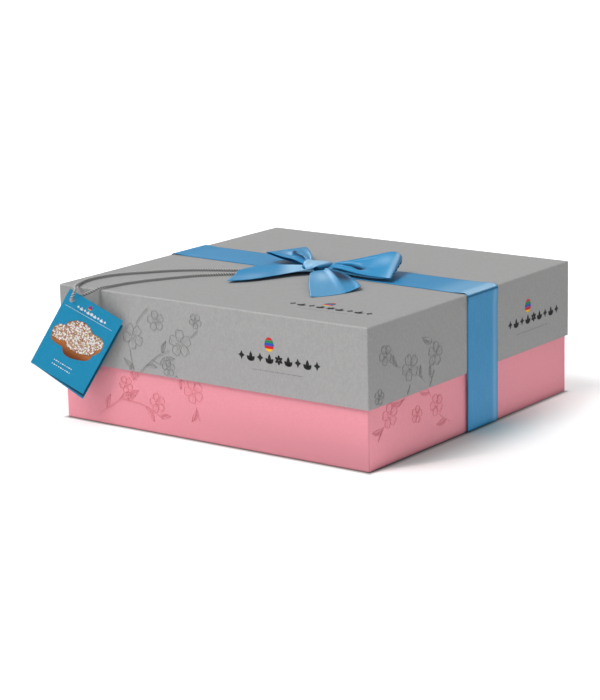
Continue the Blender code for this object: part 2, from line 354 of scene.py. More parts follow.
def paper_grain_group():
    """Fine mottled paper: a soft cloud and a fine tooth, drawn out up the sides."""
    group = bpy.data.node_groups.new("paper_grain", "ShaderNodeTree")
    group.interface.new_socket(name="Vector", in_out="INPUT", socket_type="NodeSocketVector")
    for name in ("Cloud", "Tooth", "Draw"):
        group.interface.new_socket(name=name, in_out="INPUT", socket_type="NodeSocketFloat")
    for name in ("Tone", "Height"):
        group.interface.new_socket(name=name, in_out="OUTPUT", socket_type="NodeSocketFloat")
    inside = add_node(group, "NodeGroupInput")
    outside = add_node(group, "NodeGroupOutput")
    drawn = add_node(group, "ShaderNodeCombineXYZ", {0: 1.0, 1: 1.0, 2: inside.outputs["Draw"]})
    place = made(
        group, "ShaderNodeVectorMath",
        {0: inside.outputs["Vector"], 1: drawn.outputs[0]}, operation="MULTIPLY",
    )
    cloud = speckle(group, place, inside.outputs["Cloud"], 3.0)
    tooth = speckle(group, place, inside.outputs["Tooth"], 2.0)
    tone = maths(group, "ADD", product(group, cloud, 0.3), product(group, tooth, 0.7))
    group.links.new(tone, outside.inputs["Tone"])
    group.links.new(tooth, outside.inputs["Height"])
    return group


paper_grain = paper_grain_group()


def paper(name, light, deep, roughness, grain_depth, cloud=300.0, tooth=800.0, draw=0.5):
    """Paper-covered board: its material, tree, shader and its mottled colour."""
    material, tree, shader = new_material(name, roughness)
    grain = add_node(tree, "ShaderNodeGroup", node_tree=paper_grain)
    tree.links.new(own_place(tree), grain.inputs["Vector"])
    grain.inputs["Cloud"].default_value = cloud
    grain.inputs["Tooth"].default_value = tooth
    grain.inputs["Draw"].default_value = draw
    colour = blend(tree, level(tree, grain.outputs["Tone"], 0.35, 0.65), deep, light)
    bump = add_node(
        tree, "ShaderNodeBump",
        {"Height": grain.outputs["Height"], "Strength": 0.5, "Distance": grain_depth},
    )
    tree.links.new(bump.outputs[0], shader.inputs["Normal"])
    tree.links.new(colour, shader.inputs["Base Color"])
    shader.inputs["Specular IOR Level"].default_value = 0.2
    return material, tree, shader, colour


def ramp(tree, value, low, high):
    """A smooth step from 0 at low to 1 at high."""
    return made(
        tree, "ShaderNodeMapRange",
        {"Value": value, "From Min": low, "From Max": high}, interpolation_type="SMOOTHSTEP",
    )


def own_axes(tree):
    """Where a point is on the finished object, along x, y and z."""
    return add_node(tree, "ShaderNodeSeparateXYZ", {0: own_place(tree)}).outputs


def pink_paper():
    """Pink paper with a painted shade towards the foot of the front's right half and painted light on its
    right side.
    """
    material, tree, shader, colour = paper("pink_paper", PINK, PINK_DEEP, 0.6, 0.03 * MM, draw=1.0)
    x, y, z = own_axes(tree)
    # Painted shade towards the foot of the front's right half.
    low = ramp(tree, z, PINK_SHADE_TOP, PINK_SHADE_FOOT)
    right = ramp(tree, x, -0.19, 0.16)
    front = ramp(tree, y, -0.157, -0.1585)
    shaded = blend(tree, product(tree, low, right, front), colour, PINK_PAINTED_SHADE)
    # Painted light on the right face.
    side = ramp(tree, x, 0.1675, 0.169)
    tree.links.new(blend(tree, side, shaded, PINK_SIDE_PAINTED_LIGHT), shader.inputs["Base Color"])
    return material


def dress_node(node, material):
    """Give a CAD node that stays in view its finish."""
    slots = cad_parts[node].data.materials
    slots.clear()
    slots.append(material)


dress_node("box_base", pink_paper())


# Lid
# The lid is the same board covered with a grey paper of a coarser grain, and drops over
# the base as far as the middle of its height.  Its upper edges carry a painted highlight.
GREY = (0.385, 0.383, 0.381)
GREY_DEEP = (0.335, 0.333, 0.331)
# Colour and width of the painted highlight along the lid's upper edges.
GREY_EDGE_PAINTED_HIGHLIGHT = (0.52, 0.52, 0.515)
EDGE_HIGHLIGHT_WIDTH = 1.6 * MM
lid_low, lid_high = (Vector(corner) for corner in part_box("box_lid"))


def grey_paper():
    """Grey paper with a painted highlight along the lid's upper edges."""
    material, tree, shader, colour = paper("grey_paper", GREY, GREY_DEEP, 0.72, 0.16 * MM)
    x, y, z = own_axes(tree)
    from_side = maths(tree, "SUBTRACT", lid_high.x, maths(tree, "ABSOLUTE", x))
    from_front = maths(tree, "SUBTRACT", lid_high.y, maths(tree, "ABSOLUTE", y))
    from_top = maths(tree, "SUBTRACT", lid_high.z, z)
    inward = maths(tree, "MINIMUM", from_side, from_front)
    # Painted highlight along the upper edges.
    edge_band = ramp(tree, maths(tree, "ADD", inward, from_top), EDGE_HIGHLIGHT_WIDTH, 0.0)
    painted_highlight = product(tree, edge_band, 0.55)
    tree.links.new(blend(tree, painted_highlight, colour, GREY_EDGE_PAINTED_HIGHLIGHT), shader.inputs["Base Color"])
    return material


dress_node("box_lid", grey_paper())


# Drawn sprigs
# Blossom sprigs are printed in thin lines, tone on tone, dark and light, across the lid
# and down over the base, on the left of the front and of the right side.
INK_LINE = 0.75 * MM
INK_LIFT = 0.07 * MM
INK_TONES = {
    "grey_dark": ((0.26, 0.26, 0.258), (0.30, 0.30, 0.298)),
    "grey_light": ((0.50, 0.50, 0.495), (0.45, 0.45, 0.445)),
    "pink_dark": ((0.70, 0.225, 0.275), (0.75, 0.25, 0.30)),
    "pink_light": ((0.93, 0.46, 0.51), (0.90, 0.41, 0.46)),
}
FRONT_STEMS = [
    [(-128, 10), (-104, 26), (-82, 50), (-56, 72), (-30, 84), (-10, 100)],
    [(-82, 50), (-88, 74), (-80, 98), (-66, 114)],
    [(-62, 67), (-38, 58), (-20, 40), (-12, 18)],
    [(-104, 26), (-76, 24), (-54, 14)],
]
FRONT_BLOSSOMS = [
    (-84, 86, 12), (-57, 103, 9.5), (-30, 86, 12.5), (-18, 44, 11), (-60, 28, 9),
    (-44, 62, 7.5), (-12, 108, 7), (-96, 40, 8),
]
SIDE_STEMS = [
    [(-36, 16), (-58, 30), (-72, 54), (-96, 74), (-122, 84), (-144, 100)],
    [(-72, 54), (-62, 76), (-68, 96)],
    [(-96, 74), (-108, 52), (-130, 42), (-146, 24)],
]
SIDE_BLOSSOMS = [
    (-62, 82, 11), (-100, 78, 12), (-136, 96, 9), (-128, 42, 11), (-58, 36, 10),
    (-88, 34, 8), (-146, 62, 7),
]


def line_tree():
    """Pen lines: a flat strip along each curve that tapers at both ends."""
    tree, inside, outside = start_tree("pen_lines", ["Line Width", "Line Height", "Material"])
    upright = made(
        tree, "GeometryNodeSetCurveNormal", {"Curve": inside.outputs["Geometry"]}, mode="Z_UP"
    )
    along = add_node(tree, "GeometryNodeSplineParameter").outputs["Factor"]
    swell = maths(tree, "SINE", product(tree, along, math.pi))
    radius = maths(tree, "MULTIPLY_ADD", maths(tree, "POWER", swell, 0.6), 0.65, 0.35)
    tapered = made(tree, "GeometryNodeSetCurveRadius", {"Curve": upright, "Radius": radius})
    strip = made(
        tree, "GeometryNodeCurvePrimitiveQuadrilateral",
        {"Width": inside.outputs["Line Height"], "Height": inside.outputs["Line Width"]},
    )
    drawn = made(
        tree, "GeometryNodeCurveToMesh", {"Curve": tapered, "Profile Curve": strip, "Fill Caps": True}
    )
    return end_tree(tree, outside, drawn, inside.outputs["Material"])


def turned(points, angle, at):
    """Points turned about the origin and moved to a place."""
    c, s = math.cos(angle), math.sin(angle)
    return [(at[0] + c * x - s * y, at[1] + s * x + c * y) for x, y in points]


def leaf_lines(at, angle, length):
    """The dark and light lines of one leaf."""
    steps = 12
    half = length * 0.19
    edges = []
    for side in (1, -1):
        edge = []
        for index in range(steps + 1):
            t = index / steps
            swell = math.sin(math.pi * t ** 0.85) * (1 - 0.25 * t)
            edge.append((t * length, side * half * swell + 0.06 * length * math.sin(math.pi * t)))
        edges.append(edge)
    rib = [(t * length, 0.06 * length * math.sin(math.pi * t)) for t in (0, 0.25, 0.5, 0.75, 0.95)]
    veins = []
    for t in (0.25, 0.42, 0.59):
        root = (t * length, 0.06 * length * math.sin(math.pi * t))
        for side in (1, -1):
            veins.append([root, (root[0] + 0.16 * length, root[1] + side * half * 0.62)])
    light = [(x, y * 0.72 - 0.02 * length) for x, y in edges[1][2:-3]]
    dark = [turned(line, angle, at) for line in (*edges, rib, *veins[::2])]
    pale = [turned(line, angle, at) for line in (light, veins[1], veins[3])]
    return dark, pale


def blossom_lines(at, radius, turn):
    """The dark and light lines of a five-petalled blossom seen from the front."""
    dark, pale = [], []
    for petal in range(5):
        heading = turn + petal * math.tau / 5
        outline, inner = [], []
        for index in range(15):
            a = (index / 14 - 0.5) * 2
            spread = a * math.radians(38)
            reach = radius * (1 - 0.62 * abs(a) ** 3.2 - 0.09 * math.exp(-(a / 0.16) ** 2))
            outline.append((reach * math.cos(spread), reach * math.sin(spread)))
            if 7 <= index <= 12:
                inner.append((0.84 * reach * math.cos(spread), 0.84 * reach * math.sin(spread)))
        dark.append(turned(outline, heading, at))
        pale.append(turned(inner, heading, at))
        crease = [(radius * 0.34, 0), (radius * 0.5, radius * 0.03), (radius * 0.66, radius * 0.02)]
        pale.append(turned(crease, heading, at))
        for step in (-0.3, 0.25):
            thread = [(radius * 0.12, 0), (radius * 0.26, radius * 0.03), (radius * 0.4, 0)]
            dark.append(turned(thread, heading + step + math.tau / 10, at))
    return dark, pale


def sprig_lines(stems, blossoms, seed):
    """All the dark and light lines of a spray, in mm on its face."""
    chance = random.Random(seed)
    dark, pale = [], []

    def clear_of_blossoms(point):
        return all(math.dist(point, (x, y)) > r * 1.02 for x, y, r in blossoms)

    for stem in stems:
        line = smooth(stem, 10)
        run = []
        for index, point in enumerate(line):
            if clear_of_blossoms(point):
                run.append(point)
            if run and (not clear_of_blossoms(point) or index == len(line) - 1):
                if len(run) > 2:
                    dark.append(run)
                    pale.append([(x + 0.9, y - 1.1) for x, y in run])
                run = []
        side = 1
        for index in range(4, len(line) - 2, 7):
            x, y = line[index]
            along = math.atan2(line[index + 1][1] - y, line[index + 1][0] - x)
            size = 15 + chance.uniform(-3, 5)
            heading = along + side * (0.75 + chance.uniform(-0.15, 0.2))
            tip = (x + size * math.cos(heading), y + size * math.sin(heading))
            if clear_of_blossoms((x, y)) and clear_of_blossoms(tip):
                new_dark, new_pale = leaf_lines((x, y), heading, size)
                dark += new_dark
                pale += new_pale
            side = -side
    for x, y, radius in blossoms:
        new_dark, new_pale = blossom_lines((x, y), radius, chance.uniform(0, 1.2))
        dark += new_dark
        pale += new_pale
    return dark, pale


def split_at_rim(lines):
    """Cut each line into its runs on the lid and on the base; y is the height."""
    rim = lid_low.z / MM
    above, below = [], []
    for line in lines:
        fine = []
        for (ax, ay), (bx, by) in zip(line, line[1:]):
            parts = max(1, int(math.dist((ax, ay), (bx, by)) / 1.5))
            fine += [(ax + (bx - ax) * k / parts, ay + (by - ay) * k / parts) for k in range(parts)]
        fine.append(line[-1])
        run, on_lid = [], None
        for point in fine + [None]:
            where = None
            if point and 3 < point[1] < 121:
                where = point[1] > rim + 0.6 if abs(point[1] - rim) > 0.6 else None
            if where is not on_lid or point is None:
                if len(run) > 1:
                    (above if on_lid else below).append(run)
                run, on_lid = [], where
            if where is not None:
                run.append(point)
    return above, below


def face_matrix(right, up, at):
    """A face's own axes as a matrix: x to the right, y up, z outward."""
    axes = Matrix((right, up, right.cross(up))).transposed()
    return Matrix.Translation(at) @ axes.to_4x4()


def print_lines(name, lines, place, tone):
    """Print one set of pen lines on a face."""
    flat = [[(x * MM, y * MM, 0) for x, y in line] for line in lines]
    ink, _, _, _ = paper(f"ink_{tone}_{name}", *INK_TONES[tone], 0.6, 0.02 * MM)
    piece = grow(
        wire(name, flat), pen_lines,
        {"Line Width": INK_LINE, "Line Height": INK_LIFT * 2, "Material": ink}, name,
    )
    piece.data.transform(place)
    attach(piece, "root")


ALONG_X, ALONG_Y, ALONG_Z = Matrix.Identity(3)
pen_lines = line_tree()
for face, stems, blossoms, right in (
    ("front", FRONT_STEMS, FRONT_BLOSSOMS, ALONG_X), ("side", SIDE_STEMS, SIDE_BLOSSOMS, ALONG_Y),
):
    dark, pale = sprig_lines(stems, blossoms, 7)
    for tone, lines in (("dark", dark), ("light", pale)):
        on_lid, on_base = split_at_rim(lines)
        for ground, runs, high, slot in (
            ("grey", on_lid, lid_high, "grey_board"), ("pink", on_base, base_high, "pink_board"),
        ):
            reach = high.y if face == "front" else high.x
            place = face_matrix(right, ALONG_Z, right.cross(ALONG_Z) * reach)
            print_lines(f"sprig_{face}_{ground}_{tone}", runs, place, f"{ground}_{tone}")


# Printed marks
# A black row of leaves and lozenges under a small banded egg, with a thin dotted row
# below, is printed on the lid's front, top and right side.
MARK_LIFT = 0.06 * MM
MARK_LENGTH = 88
MARK_HEIGHT = 8.6
MARK_EGG = 12.5
MARK_SMALL_PRINT = 52
MARK_COLOURS = {
    "black": ((0.012, 0.012, 0.012), (0.022, 0.022, 0.022)),
    "grey": ((0.20, 0.20, 0.20), (0.25, 0.25, 0.25)),
    "red": ((0.62, 0.012, 0.03), (0.55, 0.01, 0.025)),
    "blue": ((0.03, 0.09, 0.45), (0.025, 0.075, 0.38)),
    "yellow": ((0.85, 0.50, 0.03), (0.80, 0.45, 0.025)),
    "green": ((0.02, 0.25, 0.09), (0.018, 0.21, 0.075)),
    "white": ((0.86, 0.88, 0.88), (0.80, 0.83, 0.84)),
}
inks = {name: paper(f"ink_{name}", *tones, 0.55, 0.02 * MM)[0] for name, tones in MARK_COLOURS.items()}


def bmesh_object(name, bm, materials):
    """Turn a bmesh into an object with these materials."""
    mesh = bpy.data.meshes.new(name)
    bm.to_mesh(mesh)
    bm.free()
    for material in materials:
        mesh.materials.append(material)
    return add_object(name, mesh)


def plates(name, shapes, place, lift):
    """Thin closed plates of ink; each shape is an outline in mm and its ink's name."""
    bm = bmesh.new()
    used = sorted({ink for _, ink in shapes})
    for outline, ink in shapes:
        low = [bm.verts.new((x * MM, y * MM, -0.03 * MM)) for x, y in outline]
        high = [bm.verts.new((x * MM, y * MM, lift)) for x, y in outline]
        faces = [bm.faces.new(high), bm.faces.new(low[::-1])]
        for i in range(len(outline)):
            j = (i + 1) % len(outline)
            faces.append(bm.faces.new((low[i], low[j], high[j], high[i])))
        for face in faces:
            face.material_index = used.index(ink)
    bmesh.ops.recalc_face_normals(bm, faces=bm.faces)
    piece = bmesh_object(name, bm, [inks[ink] for ink in used])
    piece.data.transform(place)
    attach(piece, "root")


def leaf_shape(at, angle, length, width):
    """A pointed leaf outline about its middle."""
    side = [(-1 + 2 * k / 8) for k in range(9)]
    upper = [(t * length / 2, width / 2 * (1 - t * t)) for t in side]
    lower = [(t * length / 2, -width / 2 * (1 - t * t)) for t in side[::-1][1:-1]]
    return turned(upper + lower, angle, at)


def lozenge_shape(at, width, height):
    """A lozenge with sides drawn in a little."""
    pull = 0.36
    points = []
    corners = [(width / 2, 0), (0, height / 2), (-width / 2, 0), (0, -height / 2)]
    for (ax, ay), (bx, by) in zip(corners, corners[1:] + corners[:1]):
        points.append((at[0] + ax, at[1] + ay))
        points.append((at[0] + (ax + bx) * pull, at[1] + (ay + by) * pull))
    return points


def disc_shape(at, radius, sides=8):
    """A round dot."""
    angles = [math.tau * k / sides for k in range(sides)]
    return [(at[0] + radius * math.cos(a), at[1] + radius * math.sin(a)) for a in angles]


def egg_half_width(t):
    """Half width of an egg of height 1 at height t."""
    return 0.40 * math.sqrt(max(0.0, 1 - (2 * t - 1) ** 2)) * (1.0 - 0.22 * (t - 0.42))


def egg_shapes(at, height, bands):
    """An upright egg of bands from the bottom up; at is the foot of the egg."""
    shapes = []
    for index, ink in enumerate(bands):
        low, high = index / len(bands), (index + 1) / len(bands)
        levels = [low + (high - low) * k / 5 for k in range(6)]
        right = [(at[0] + height * egg_half_width(t), at[1] + height * t) for t in levels]
        around = right + [(2 * at[0] - x, y) for x, y in right[::-1]]
        outline = [p for k, p in enumerate(around) if k == 0 or p != around[k - 1]]
        if outline[0] == outline[-1]:
            outline.pop()
        shapes.append((outline, ink))
    return shapes


def ornament_row(middle, length, size, ink):
    """Sprays of three leaves and lozenges by turns, about a flower of six petals."""
    x, y = middle
    shapes = []
    for petal in range(6):
        angle = math.pi / 2 + petal * math.pi / 3
        spot = (x + 0.28 * size * math.cos(angle), y + 0.28 * size * math.sin(angle))
        shapes.append((leaf_shape(spot, angle, 0.5 * size, 0.3 * size), ink))
    for side in (-1, 1):
        for slot in (1, 2, 3, 4):
            at = (x + side * slot * length / 8.8, y)
            if slot % 2 == 0:
                shapes.append((lozenge_shape(at, size * 0.8, size * 0.95), ink))
                continue
            for lean, reach in ((0, 1), (-0.75, 0.72), (0.75, 0.72)):
                angle = math.pi / 2 + lean
                foot = (at[0], at[1] - size * 0.5)
                spot = (foot[0] + 0.5 * reach * size * math.cos(angle),
                        foot[1] + 0.5 * reach * size * math.sin(angle))
                shapes.append((leaf_shape(spot, angle, reach * size, 0.4 * size), ink))
    return shapes


def dotted_row(middle, length, dot, count, ink):
    """A thin row of dots, every third one long."""
    shapes = []
    for k in range(count):
        x = middle[0] + (k / (count - 1) - 0.5) * length
        if k % 3 == 1:
            shapes.append((leaf_shape((x, middle[1]), 0.0, dot * 2.4, dot * 0.9), ink))
        else:
            shapes.append((disc_shape((x, middle[1]), dot / 2), ink))
    return shapes


def mark(name, middle, place):
    """The whole mark about the middle of its black row."""
    x, y = middle
    shapes = ornament_row(middle, MARK_LENGTH, MARK_HEIGHT, "black")
    shapes += egg_shapes((x - 10, y + 6.2), MARK_EGG, ("yellow", "red", "blue", "green", "red"))
    shapes += dotted_row((x - 2, y - 11), MARK_SMALL_PRINT, 1.0, 27, "grey")
    plates(name, shapes, place, MARK_LIFT)


mark("mark_front", (78, 85), face_matrix(ALONG_X, ALONG_Z, ALONG_Y * lid_low.y))
mark("mark_side", (99, 83), face_matrix(ALONG_Y, ALONG_Z, ALONG_X * lid_high.x))
mark("mark_top", (101, -117), face_matrix(ALONG_X, ALONG_Y, ALONG_Z * lid_high.z))


# Ribbon round the box
# One length of satin ribbon lies tight round the box, over the lid and under the base.
# It bends softly over the lid's edges, and its woven edges have tiny loops.
RIBBON_WIDTH = 48 * MM
RIBBON_THICKNESS = 0.32 * MM
RIBBON_MIDDLE_Y = 17 * MM
RIBBON_SKEW = -0.028
RIBBON_LIFT = 0.5 * MM
RIBBON_UNDER = 0.42 * MM
TOP_BEND = 4.2 * MM
TOP_BEND_LIFT = 0.85 * MM
TOP_BEND_REACH = 16 * MM
LOW_BEND = 2.3 * MM
STEPS_DOWN, STEPS_UNDER, STEPS_UP, STEPS_OVER = 100, 40, 60, 110
STEPS_ACROSS = 24
WAVE_HEIGHT = 0.22 * MM
WAVE_DIP = -0.1 * MM
# Painted shade line in the bend (FOLD_*), painted sheen before it and down the far edge (SHEEN_*).
FOLD_BELOW = 1.6 * MM
FOLD_WIDTH = 0.9 * MM
SHEEN_BEFORE = 2 * MM
SHEEN_WIDTH = 6 * MM
WIDE_SHEEN_BEFORE = 20 * MM
WIDE_SHEEN_WIDTH = 16 * MM
EDGE_SHEEN_AT = 4.5 * MM
EDGE_SHEEN_WIDTH = 3 * MM
PICOT_PITCH = 2.4 * MM
PICOT_REACH = 0.5 * MM
PICOT_THREAD_RADIUS = 0.16 * MM
THREAD_PITCH = 0.35 * MM
THREAD_FLOAT = 0.8 * MM
THREAD = (0.06, 0.33, 0.60)
SATIN = (0.008, 0.232, 0.49)
SATIN_LIGHT = (0.025, 0.285, 0.57)
# Painted shade for the creases and painted sheen for the folds, set by the crease attribute.
SATIN_PAINTED_SHADE = (0.006, 0.018, 0.05)
SATIN_PAINTED_SHEEN = (0.34, 0.60, 0.82)


def satin_weave_group():
    """Satin seen close: long fine threads, with a soft unevenness across them."""
    group = bpy.data.node_groups.new("satin_weave", "ShaderNodeTree")
    group.interface.new_socket(name="Vector", in_out="INPUT", socket_type="NodeSocketVector")
    for name in ("Tone", "Height"):
        group.interface.new_socket(name=name, in_out="OUTPUT", socket_type="NodeSocketFloat")
    inside = add_node(group, "NodeGroupInput")
    outside = add_node(group, "NodeGroupOutput")
    stretched = made(
        group, "ShaderNodeVectorMath",
        {0: inside.outputs["Vector"], 1: (1.0, 0.08, 1.0)}, operation="MULTIPLY",
    )
    streak = speckle(group, stretched, 700.0, 3.0)
    cloud = speckle(group, inside.outputs["Vector"], 420.0, 3.0)
    split = add_node(group, "ShaderNodeSeparateXYZ", {0: inside.outputs["Vector"]}).outputs
    across = maths(group, "SINE", product(group, split[0], math.tau / THREAD_PITCH))
    along = maths(group, "SINE", product(group, split[1], math.tau / THREAD_FLOAT))
    threads = product(group, across, along, 0.12)
    mixed = maths(group, "ADD", product(group, streak, 0.5), product(group, cloud, 0.5))
    group.links.new(mixed, outside.inputs["Tone"])
    group.links.new(maths(group, "ADD", mixed, threads), outside.inputs["Height"])
    return group


def satin_material():
    """Blue satin with a painted sheen on its folds and a painted shade in its creases, read from the crease
    attribute.
    """
    material, tree, shader = new_material("blue_satin_weave", 0.4)
    place = made(tree, "ShaderNodeUVMap", uv_map="ribbon")
    weave = add_node(tree, "ShaderNodeGroup", node_tree=satin_weave_group())
    tree.links.new(place, weave.inputs["Vector"])
    cloth = blend(tree, level(tree, weave.outputs["Tone"], 0.32, 0.68), SATIN, SATIN_LIGHT)
    # Crease above 0 is painted shade, below 0 painted sheen.
    crease = add_node(tree, "ShaderNodeAttribute", attribute_name="crease").outputs["Fac"]
    deep = level(tree, crease)
    painted_sheen = level(tree, crease, 0.0, -1.0)
    colour = blend(tree, deep, blend(tree, painted_sheen, cloth, SATIN_PAINTED_SHEEN), SATIN_PAINTED_SHADE)
    tree.links.new(maths(tree, "MULTIPLY_ADD", deep, 0.5, 0.4), shader.inputs["Roughness"])
    bump = add_node(
        tree, "ShaderNodeBump",
        {"Height": weave.outputs["Height"], "Strength": 0.3, "Distance": 0.08 * MM},
    )
    tree.links.new(colour, shader.inputs["Base Color"])
    tree.links.new(bump.outputs[0], shader.inputs["Normal"])
    shader.inputs["Specular IOR Level"].default_value = 0.35
    return material


satin = satin_material()


def ribbon_sheet(name, grid, closed, thickness):
    """A ribbon from rows of points, with its own width and length as its UV map.

    Each grid entry is (point, crease), the crease being a painted shade above 0 and a painted sheen below
    0.  A closed ribbon joins its last row to its first."""
    bm = bmesh.new()
    uv_layer = bm.loops.layers.uv.new("ribbon")
    painted_tone_layer = bm.verts.layers.float.new("crease")
    rows = []
    for line in grid:
        row = []
        for point, crease in line:
            vertex = bm.verts.new(point)
            vertex[painted_tone_layer] = crease
            row.append(vertex)
        rows.append(row)
    middle = len(rows[0]) // 2
    lengths = [0.0]
    for first, second in zip(rows, rows[1:] + rows[:1]):
        lengths.append(lengths[-1] + (second[middle].co - first[middle].co).length)
    widths = [i / (len(rows[0]) - 1) * RIBBON_WIDTH for i in range(len(rows[0]))]
    count = len(rows) if closed else len(rows) - 1
    for j in range(count):
        first, second = rows[j], rows[(j + 1) % len(rows)]
        for i in range(len(first) - 1):
            face = bm.faces.new((first[i], first[i + 1], second[i + 1], second[i]))
            face.smooth = True
            corners = ((i, j), (i + 1, j), (i + 1, j + 1), (i, j + 1))
            for loop, (a, b) in zip(face.loops, corners):
                loop[uv_layer].uv = (widths[a], lengths[b])
    piece = bmesh_object(name, bm, [satin])
    wall = piece.modifiers.new("thickness", "SOLIDIFY")
    wall.thickness = thickness
    wall.offset = 0.0
    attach(piece, "root")
    return piece


def band_path():
    """The points (x, z) of the ribbon's way round the box."""
    side = lid_high.x + RIBBON_LIFT
    top = lid_high.z + RIBBON_LIFT
    low = RIBBON_UNDER

    def arc(cx, cz, radius, start, end, steps=10):
        for index in range(steps + 1):
            angle = math.radians(start + (end - start) * index / steps)
            yield cx + radius * math.cos(angle), cz + radius * math.sin(angle)

    def straight(start, end, count):
        for index in range(1, count):
            t = index / count
            yield start[0] + (end[0] - start[0]) * t, start[1] + (end[1] - start[1]) * t

    out = side + TOP_BEND_LIFT
    up = top + TOP_BEND_LIFT
    right_top = list(arc(out - TOP_BEND, up - TOP_BEND, TOP_BEND, 90, 0))
    right_low = list(arc(side - LOW_BEND, low + LOW_BEND, LOW_BEND, 0, -90, 6))
    left_low = [(-x, z) for x, z in reversed(right_low)]
    left_top = [(-x, z) for x, z in reversed(right_top)]
    path = list(right_top)
    path += straight(right_top[-1], right_low[0], STEPS_DOWN)
    path += right_low
    path += straight(right_low[-1], left_low[0], STEPS_UNDER)
    path += left_low
    path += straight(left_low[-1], left_top[0], STEPS_UP)
    path += left_top
    path += straight(left_top[-1], right_top[0], STEPS_OVER)
    points = []
    for x, z in path:
        near_top = z > top - TOP_BEND
        near_side = abs(x) > side - TOP_BEND
        if near_top and not near_side:
            away = (out - TOP_BEND - abs(x)) / TOP_BEND_REACH
            z = top + TOP_BEND_LIFT * math.exp(-away ** 2 * 3)
        elif near_side and not near_top and z > low + LOW_BEND:
            away = (up - TOP_BEND - z) / TOP_BEND_REACH
            x = math.copysign(side + TOP_BEND_LIFT * math.exp(-away ** 2 * 3), x)
        points.append((x, z))
    return points


def bump_at(value, centre, width):
    """A smooth bump, 1 at its centre."""
    return math.exp(-(((value - centre) / width) ** 2))


def band_painted_tone(x, below, from_far_edge):
    """A painted shade line in the bend, a painted sheen before it and a fine painted sheen down the far
    edge.
    """
    line = 0.8 * bump_at(below, FOLD_BELOW, FOLD_WIDTH)
    if below > FOLD_BELOW:
        sheen = 0.3 * bump_at(from_far_edge, EDGE_SHEEN_AT, EDGE_SHEEN_WIDTH)
    else:
        before = lid_high.x - x
        sheen = 0.75 * bump_at(before, SHEEN_BEFORE, SHEEN_WIDTH)
        sheen += 0.35 * bump_at(before, WIDE_SHEEN_BEFORE, WIDE_SHEEN_WIDTH)
    return line - sheen * (1 - line)


def off_the_box(x, z):
    """The way out from the box at a point of the band, and none underneath."""
    if z < 3 * MM:
        return Vector((0, 0, 0))
    if abs(z - lid_high.z) < 3 * MM:
        return ALONG_Z
    return ALONG_X * math.copysign(1, x)


def build_band():
    """The band, with the slight unevenness of cloth that is pulled tight."""
    grid = []
    for x, z in band_path():
        middle = RIBBON_MIDDLE_Y + RIBBON_SKEW * x
        line = []
        for i in range(STEPS_ACROSS + 1):
            share = i / STEPS_ACROSS
            point = Vector((x, middle + (share - 0.5) * RIBBON_WIDTH, z))
            wave = max(noise.noise(point * 28) * WAVE_HEIGHT, WAVE_DIP)
            # Painted shade in the bend, painted sheen before it and down the far edge.
            tone = band_painted_tone(x, lid_high.z - z, (1 - share) * RIBBON_WIDTH)
            line.append((point + off_the_box(x, z) * wave, tone))
        grid.append(line)
    return ribbon_sheet("ribbon_round_box", grid, True, RIBBON_THICKNESS), grid


def picot_tree():
    """A fine thread that runs along an edge in tiny round loops."""
    sizes = ["Thread Radius", "Loop Pitch", "Loop Reach", "Material"]
    tree, inside, outside = start_tree("picots", sizes)
    edge = made(tree, "GeometryNodeMeshToCurve", {0: inside.outputs["Geometry"]})
    step = maths(tree, "DIVIDE", inside.outputs["Loop Pitch"], 6.0)
    fine = made(tree, "GeometryNodeResampleCurve", {"Curve": edge, "Length": step}, mode="LENGTH")
    along = add_node(tree, "GeometryNodeSplineParameter").outputs["Length"]
    turn = maths(tree, "DIVIDE", product(tree, along, math.pi), inside.outputs["Loop Pitch"])
    swing = maths(tree, "ABSOLUTE", maths(tree, "SINE", turn))
    reach = product(tree, swing, inside.outputs["Loop Reach"])
    outward = made(
        tree, "GeometryNodeInputNamedAttribute", {"Name": "outward"}, data_type="FLOAT_VECTOR"
    )
    shift = made(tree, "ShaderNodeVectorMath", {0: outward, "Scale": reach}, operation="SCALE")
    looped = made(tree, "GeometryNodeSetPosition", {"Geometry": fine, "Offset": shift})
    ring = made(
        tree, "GeometryNodeCurvePrimitiveCircle",
        {"Resolution": 5, "Radius": inside.outputs["Thread Radius"]},
    )
    thread = made(
        tree, "GeometryNodeCurveToMesh", {"Curve": looped, "Profile Curve": ring, "Fill Caps": True}
    )
    soft = made(tree, "GeometryNodeSetShadeSmooth", {"Geometry": thread})
    return end_tree(tree, outside, soft, inside.outputs["Material"])


def picots(name, grid, closed):
    """Loops of thread along both edges of a ribbon."""
    mesh = bpy.data.meshes.new(name)
    points, edges, outward = [], [], []
    for outer, inner in ((0, 1), (-1, -2)):
        first = len(points)
        for line in grid:
            points.append(line[outer][0])
            outward.append((line[outer][0] - line[inner][0]).normalized())
        edges += [(first + k, first + k + 1) for k in range(len(grid) - 1)]
        if closed:
            edges.append((first + len(grid) - 1, first))
    mesh.from_pydata(points, edges, [])
    store = mesh.attributes.new("outward", "FLOAT_VECTOR", "POINT")
    for slot, vector in zip(store.data, outward):
        slot.vector = vector
    piece = grow(add_object(name, mesh), edge_picots, {
        "Thread Radius": PICOT_THREAD_RADIUS, "Loop Pitch": PICOT_PITCH,
        "Loop Reach": PICOT_REACH, "Material": edge_thread,
    }, name)
    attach(piece, "root")
    return piece


edge_picots = picot_tree()
edge_thread = paper("picot_thread", THREAD, SATIN, 0.6, 0.02 * MM, cloud=900.0, tooth=2500.0)[0]
band, band_grid = build_band()
band_picots = picots("ribbon_round_box_picots", band_grid, True)
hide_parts("ribbon_band")


